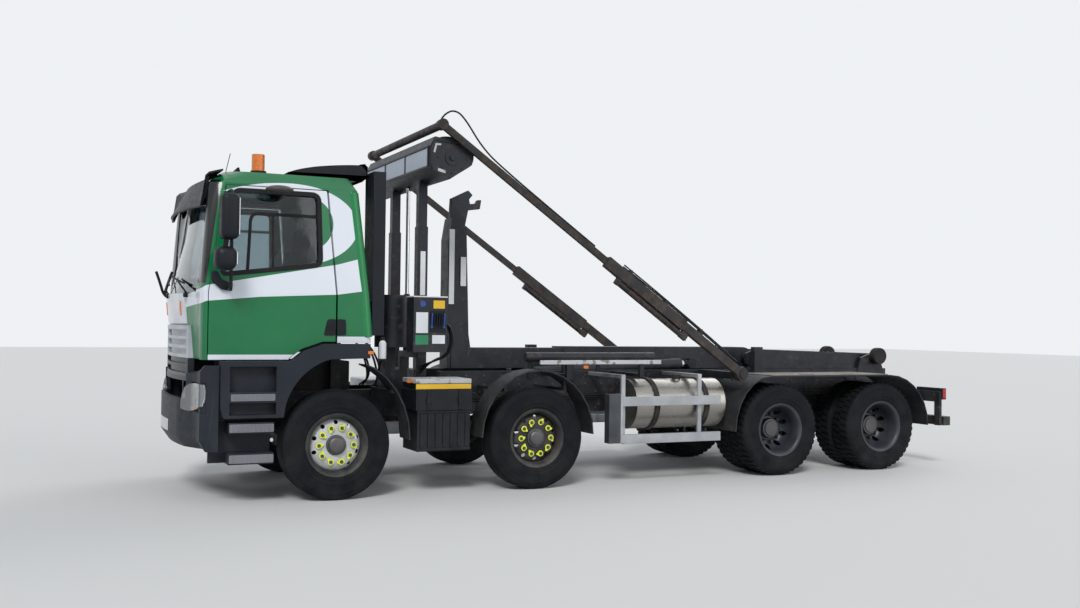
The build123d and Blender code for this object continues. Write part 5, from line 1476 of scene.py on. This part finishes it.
# %% [markdown]
# The battery box has a worn pale lid with a yellow edge and a ribbed skirt.
# The aluminium fuel tank is held by three straps, and its ends are pressed.
# %% Battery box, tank and bars
lid = bmesh.new()
box_at(lid, 0.772, 1.358, -1.208, -0.782, 1.094, 1.140)
finish_form("battery_lid", close_form(lid), "chassis", bar_white, bevel=0.008)
edge = bmesh.new()
box_at(edge, 0.776, 1.354, -1.206, -1.198, 1.040, 1.090)
finish_form("battery_edge", close_form(edge), "chassis", plate_yellow, bevel=0.002)
skirt = bmesh.new()
for rib in range(7):
    u = 0.835 + rib * 0.078
    box_at(skirt, u - 0.014, u + 0.014, -1.222, -1.208, 0.470, 0.800)
box_at(skirt, 0.786, 1.348, -1.219, -1.208, 0.440, 0.462)
box_at(skirt, 0.786, 1.348, -1.219, -1.208, 0.806, 0.828)
for u in (0.900, 1.230):
    box_at(skirt, u - 0.016, u + 0.016, -1.236, -1.224, 0.840, 1.036)
    box_at(skirt, u - 0.022, u + 0.022, -1.245, -1.226, 0.900, 0.960)
finish_form("battery_skirt", close_form(skirt), "chassis", dark_plastic, bevel=0.004)
side_markers = bmesh.new()
for u, y, z in ((0.745, -1.10, 1.115), (2.62, -1.246, 1.250), (0.30, -1.252, 1.40)):
    box_at(side_markers, u - 0.028, u + 0.028, y - 0.014, y, z - 0.016, z + 0.016)
finish_form("side_markers", close_form(side_markers), "chassis", amber_lens, bevel=0.003)

tank_middle = Vector((0, -0.870, 0.830))
tank_dress = bmesh.new()
for u in (3.560, 4.200):
    x = axle_1 + u
    width, reach = 0.030, 0.290
    ring = [(-width, 0.268), (-width, reach), (width, reach), (width, 0.268)]
    own = bmesh.new()
    verts = [own.verts.new((x + a, tank_middle.y, tank_middle.z + r)) for a, r in ring]
    edges = [own.edges.new((verts[i], verts[i - 1])) for i in range(4)]
    bmesh.ops.spin(
        own, geom=verts + edges, cent=(x, tank_middle.y, tank_middle.z), axis=(1, 0, 0), angle=2 * pi,
        steps=64, use_merge=True
    )
    bmesh.ops.remove_doubles(own, verts=own.verts, dist=0.0001)
    merge_into(own, tank_dress)
add_round(tank_dress, (axle_1 + 3.93, -0.93, 1.10), (axle_1 + 3.93, -0.93, 1.150), 0.050, 32)
finish_form("tank_straps", close_form(tank_dress), "chassis", cast_metal, bevel=0.003)

bars = bmesh.new()
box_at(bars, 2.10, 3.54, -1.248, -1.216, 1.278, 1.322)
finish_form("side_bar", close_form(bars), "chassis", bar_white, bevel=0.006)
bar_stays = bmesh.new()
for u in (2.35, 3.20):
    box_at(bar_stays, u - 0.02, u + 0.02, -1.222, -0.43, 1.288, 1.308)
    box_at(bar_stays, u - 0.02, u + 0.02, -0.45, -0.425, 1.10, 1.308)
finish_form("side_bar_stays", close_form(bar_stays), "chassis", chassis_paint, bevel=0.003)
treadplate = bmesh.new()
for side in (-1, 1):
    box_at(treadplate, 5.02, 6.72, side * 0.60, side * 1.242, 1.137, 1.147)
finish_form("guard_tops", close_form(treadplate), "chassis", chequer_plate, bevel=0.003)
# painted shade: thin dark boxes laid on the plate stand for the dark inside two slits
slit_shade = bmesh.new()
for u in (5.55, 6.15):
    box_at(slit_shade, u - 0.09, u + 0.09, -1.20, -1.16, 1.146, 1.150)
finish_form("guard_slits", close_form(slit_shade), "chassis", dark_plastic)
print("side dressed")

# %% [markdown]
# Frame rails are full of bolts. They're laid in rows where the real ones hold
# cross members, spring hangers and brackets.
# %% Bolts and pipes on the rails
bolts = bmesh.new()
for side in (-1, 1):
    for index in range(46):
        u = 0.95 + index * 0.148
        for z in ((0.765, 0.945) if index % 2 else (0.81, 0.90)):
            spot = Vector((axle_1 + u, side * 0.430, z))
            add_round(bolts, spot, spot + Vector((0, side * 0.012, 0)), 0.013, 6)
    for index in range(30):
        u = 1.40 + index * 0.205
        for z in (1.035, 1.130):
            spot = Vector((axle_1 + u, side * 0.425, z))
            add_round(bolts, spot, spot + Vector((0, side * 0.010, 0)), 0.012, 6)
finish_form("rail_bolts", close_form(bolts), "chassis", nut_steel)
pipes = bmesh.new()
for lane, z in enumerate((0.862, 0.880, 0.898)):
    add_tube(
        pipes,
        [
            (axle_1 + 1.45, -0.437 - lane * 0.002, z), (axle_1 + 3.0, -0.437, z),
            (axle_1 + 4.4, -0.437, z + 0.01), (axle_1 + 7.2, -0.437, z)
        ],
        0.007, 8, 1
    )
finish_form("rail_pipes", close_form(pipes), "chassis", hose_rubber)
roof_bits = bmesh.new()
add_plate(
    roof_bits, [(-0.965, 3.075), (-0.905, 3.135), (-0.890, 3.135), (-0.875, 3.075)], on_side(-1), 0.83, 0.86
)
add_tube(
    roof_bits, [(axle_1 - 1.02, -0.86, 3.06), (axle_1 - 1.00, -0.86, 3.15), (axle_1 - 0.975, -0.86, 3.26)],
    0.0035, 8, 1
)
add_round(roof_bits, (axle_1 - 0.70, -0.80, 3.083), (axle_1 - 0.70, -0.80, 3.118), 0.074, 40)
finish_form("roof_bits", close_form(roof_bits), "cab", black_rubber)

# %% [markdown]
# A truck seat's cushion is foam in a sewn cover: it bulges between its seams
# and pulls in at its corners. Each cushion is blown up as cloth from a box that
# is a little too small, with a cap on how far a point may move, and then kept
# as a plain mesh.
# %% Seat cushions
def keep_result(piece):
    """Replaces a piece's mesh by what its modifiers make of it."""
    bpy.context.view_layer.update()
    seen = piece.evaluated_get(bpy.context.evaluated_depsgraph_get())
    mesh = bpy.data.meshes.new_from_object(seen)
    piece.modifiers.clear()
    piece.data = mesh


def swell_up(piece, cap):
    """Blows a closed piece up as cloth, and holds each point to the cap."""
    remesh = piece.modifiers.new("remesh", "REMESH")
    remesh.mode = "VOXEL"
    remesh.voxel_size = 0.010
    keep_result(piece)
    before = [v.co.copy() for v in piece.data.vertices]
    swell = piece.modifiers.new("swell", "CLOTH")
    swell.settings.use_pressure = True
    swell.settings.uniform_pressure_force = 4.0
    swell.settings.effector_weights.gravity = 0.0
    for step in range(1, 21):
        bpy.context.scene.frame_set(step)
    keep_result(piece)
    bpy.context.scene.frame_set(1)
    for vert, old in zip(piece.data.vertices, before):
        move = vert.co - old
        if move.length > cap:
            vert.co = old + move * (cap / move.length)


def add_cushion(names, low, high, lean, cap):
    """One cushion on each seat: a bevelled box, leant back, swollen and copied."""
    form = bmesh.new()
    middle = (Vector(low) + Vector(high)) / 2
    add_box(form, low, high)
    bmesh.ops.bevel(form, geom=form.edges[:], offset=0.025, segments=3, affect="EDGES")
    bmesh.ops.rotate(form, verts=form.verts, cent=middle, matrix=Matrix.Rotation(radians(lean), 3, "Y"))
    piece = finish_form(names[0], close_form(form), "cab", seat_cloth)
    swell_up(piece, cap)
    twin = bmesh.new()
    twin.from_mesh(piece.data)
    bmesh.ops.translate(twin, verts=twin.verts, vec=(0.0, -2 * middle.y, 0.0))
    for cushion in (piece, finish_form(names[1], twin, "cab", seat_cloth)):
        cushion.data.shade_smooth()
        rounding = cushion.modifiers.new("finer", "SUBSURF")
        rounding.levels = rounding.render_levels = 1


cushions = (
    # part, behind the first axle, half width, heights, lean, cap
    ("base", (-0.570, -0.060), 0.230, (1.895, 1.965), 0, 0.022),
    ("back", (-0.125, -0.045), 0.212, (1.985, 2.500), 9, 0.022),
    ("head", (-0.045, 0.030), 0.125, (2.535, 2.680), 9, 0.014),
)
seat_middle = -0.560
for part, (u0, u1), half, (z0, z1), lean, cap in cushions:
    names = (f"cushion_left_{part}", f"cushion_right_{part}")
    low = (axle_1 + u0, seat_middle - half, z0)
    high = (axle_1 + u1, seat_middle + half, z1)
    add_cushion(names, low, high, lean, cap)
print("cushions swollen")
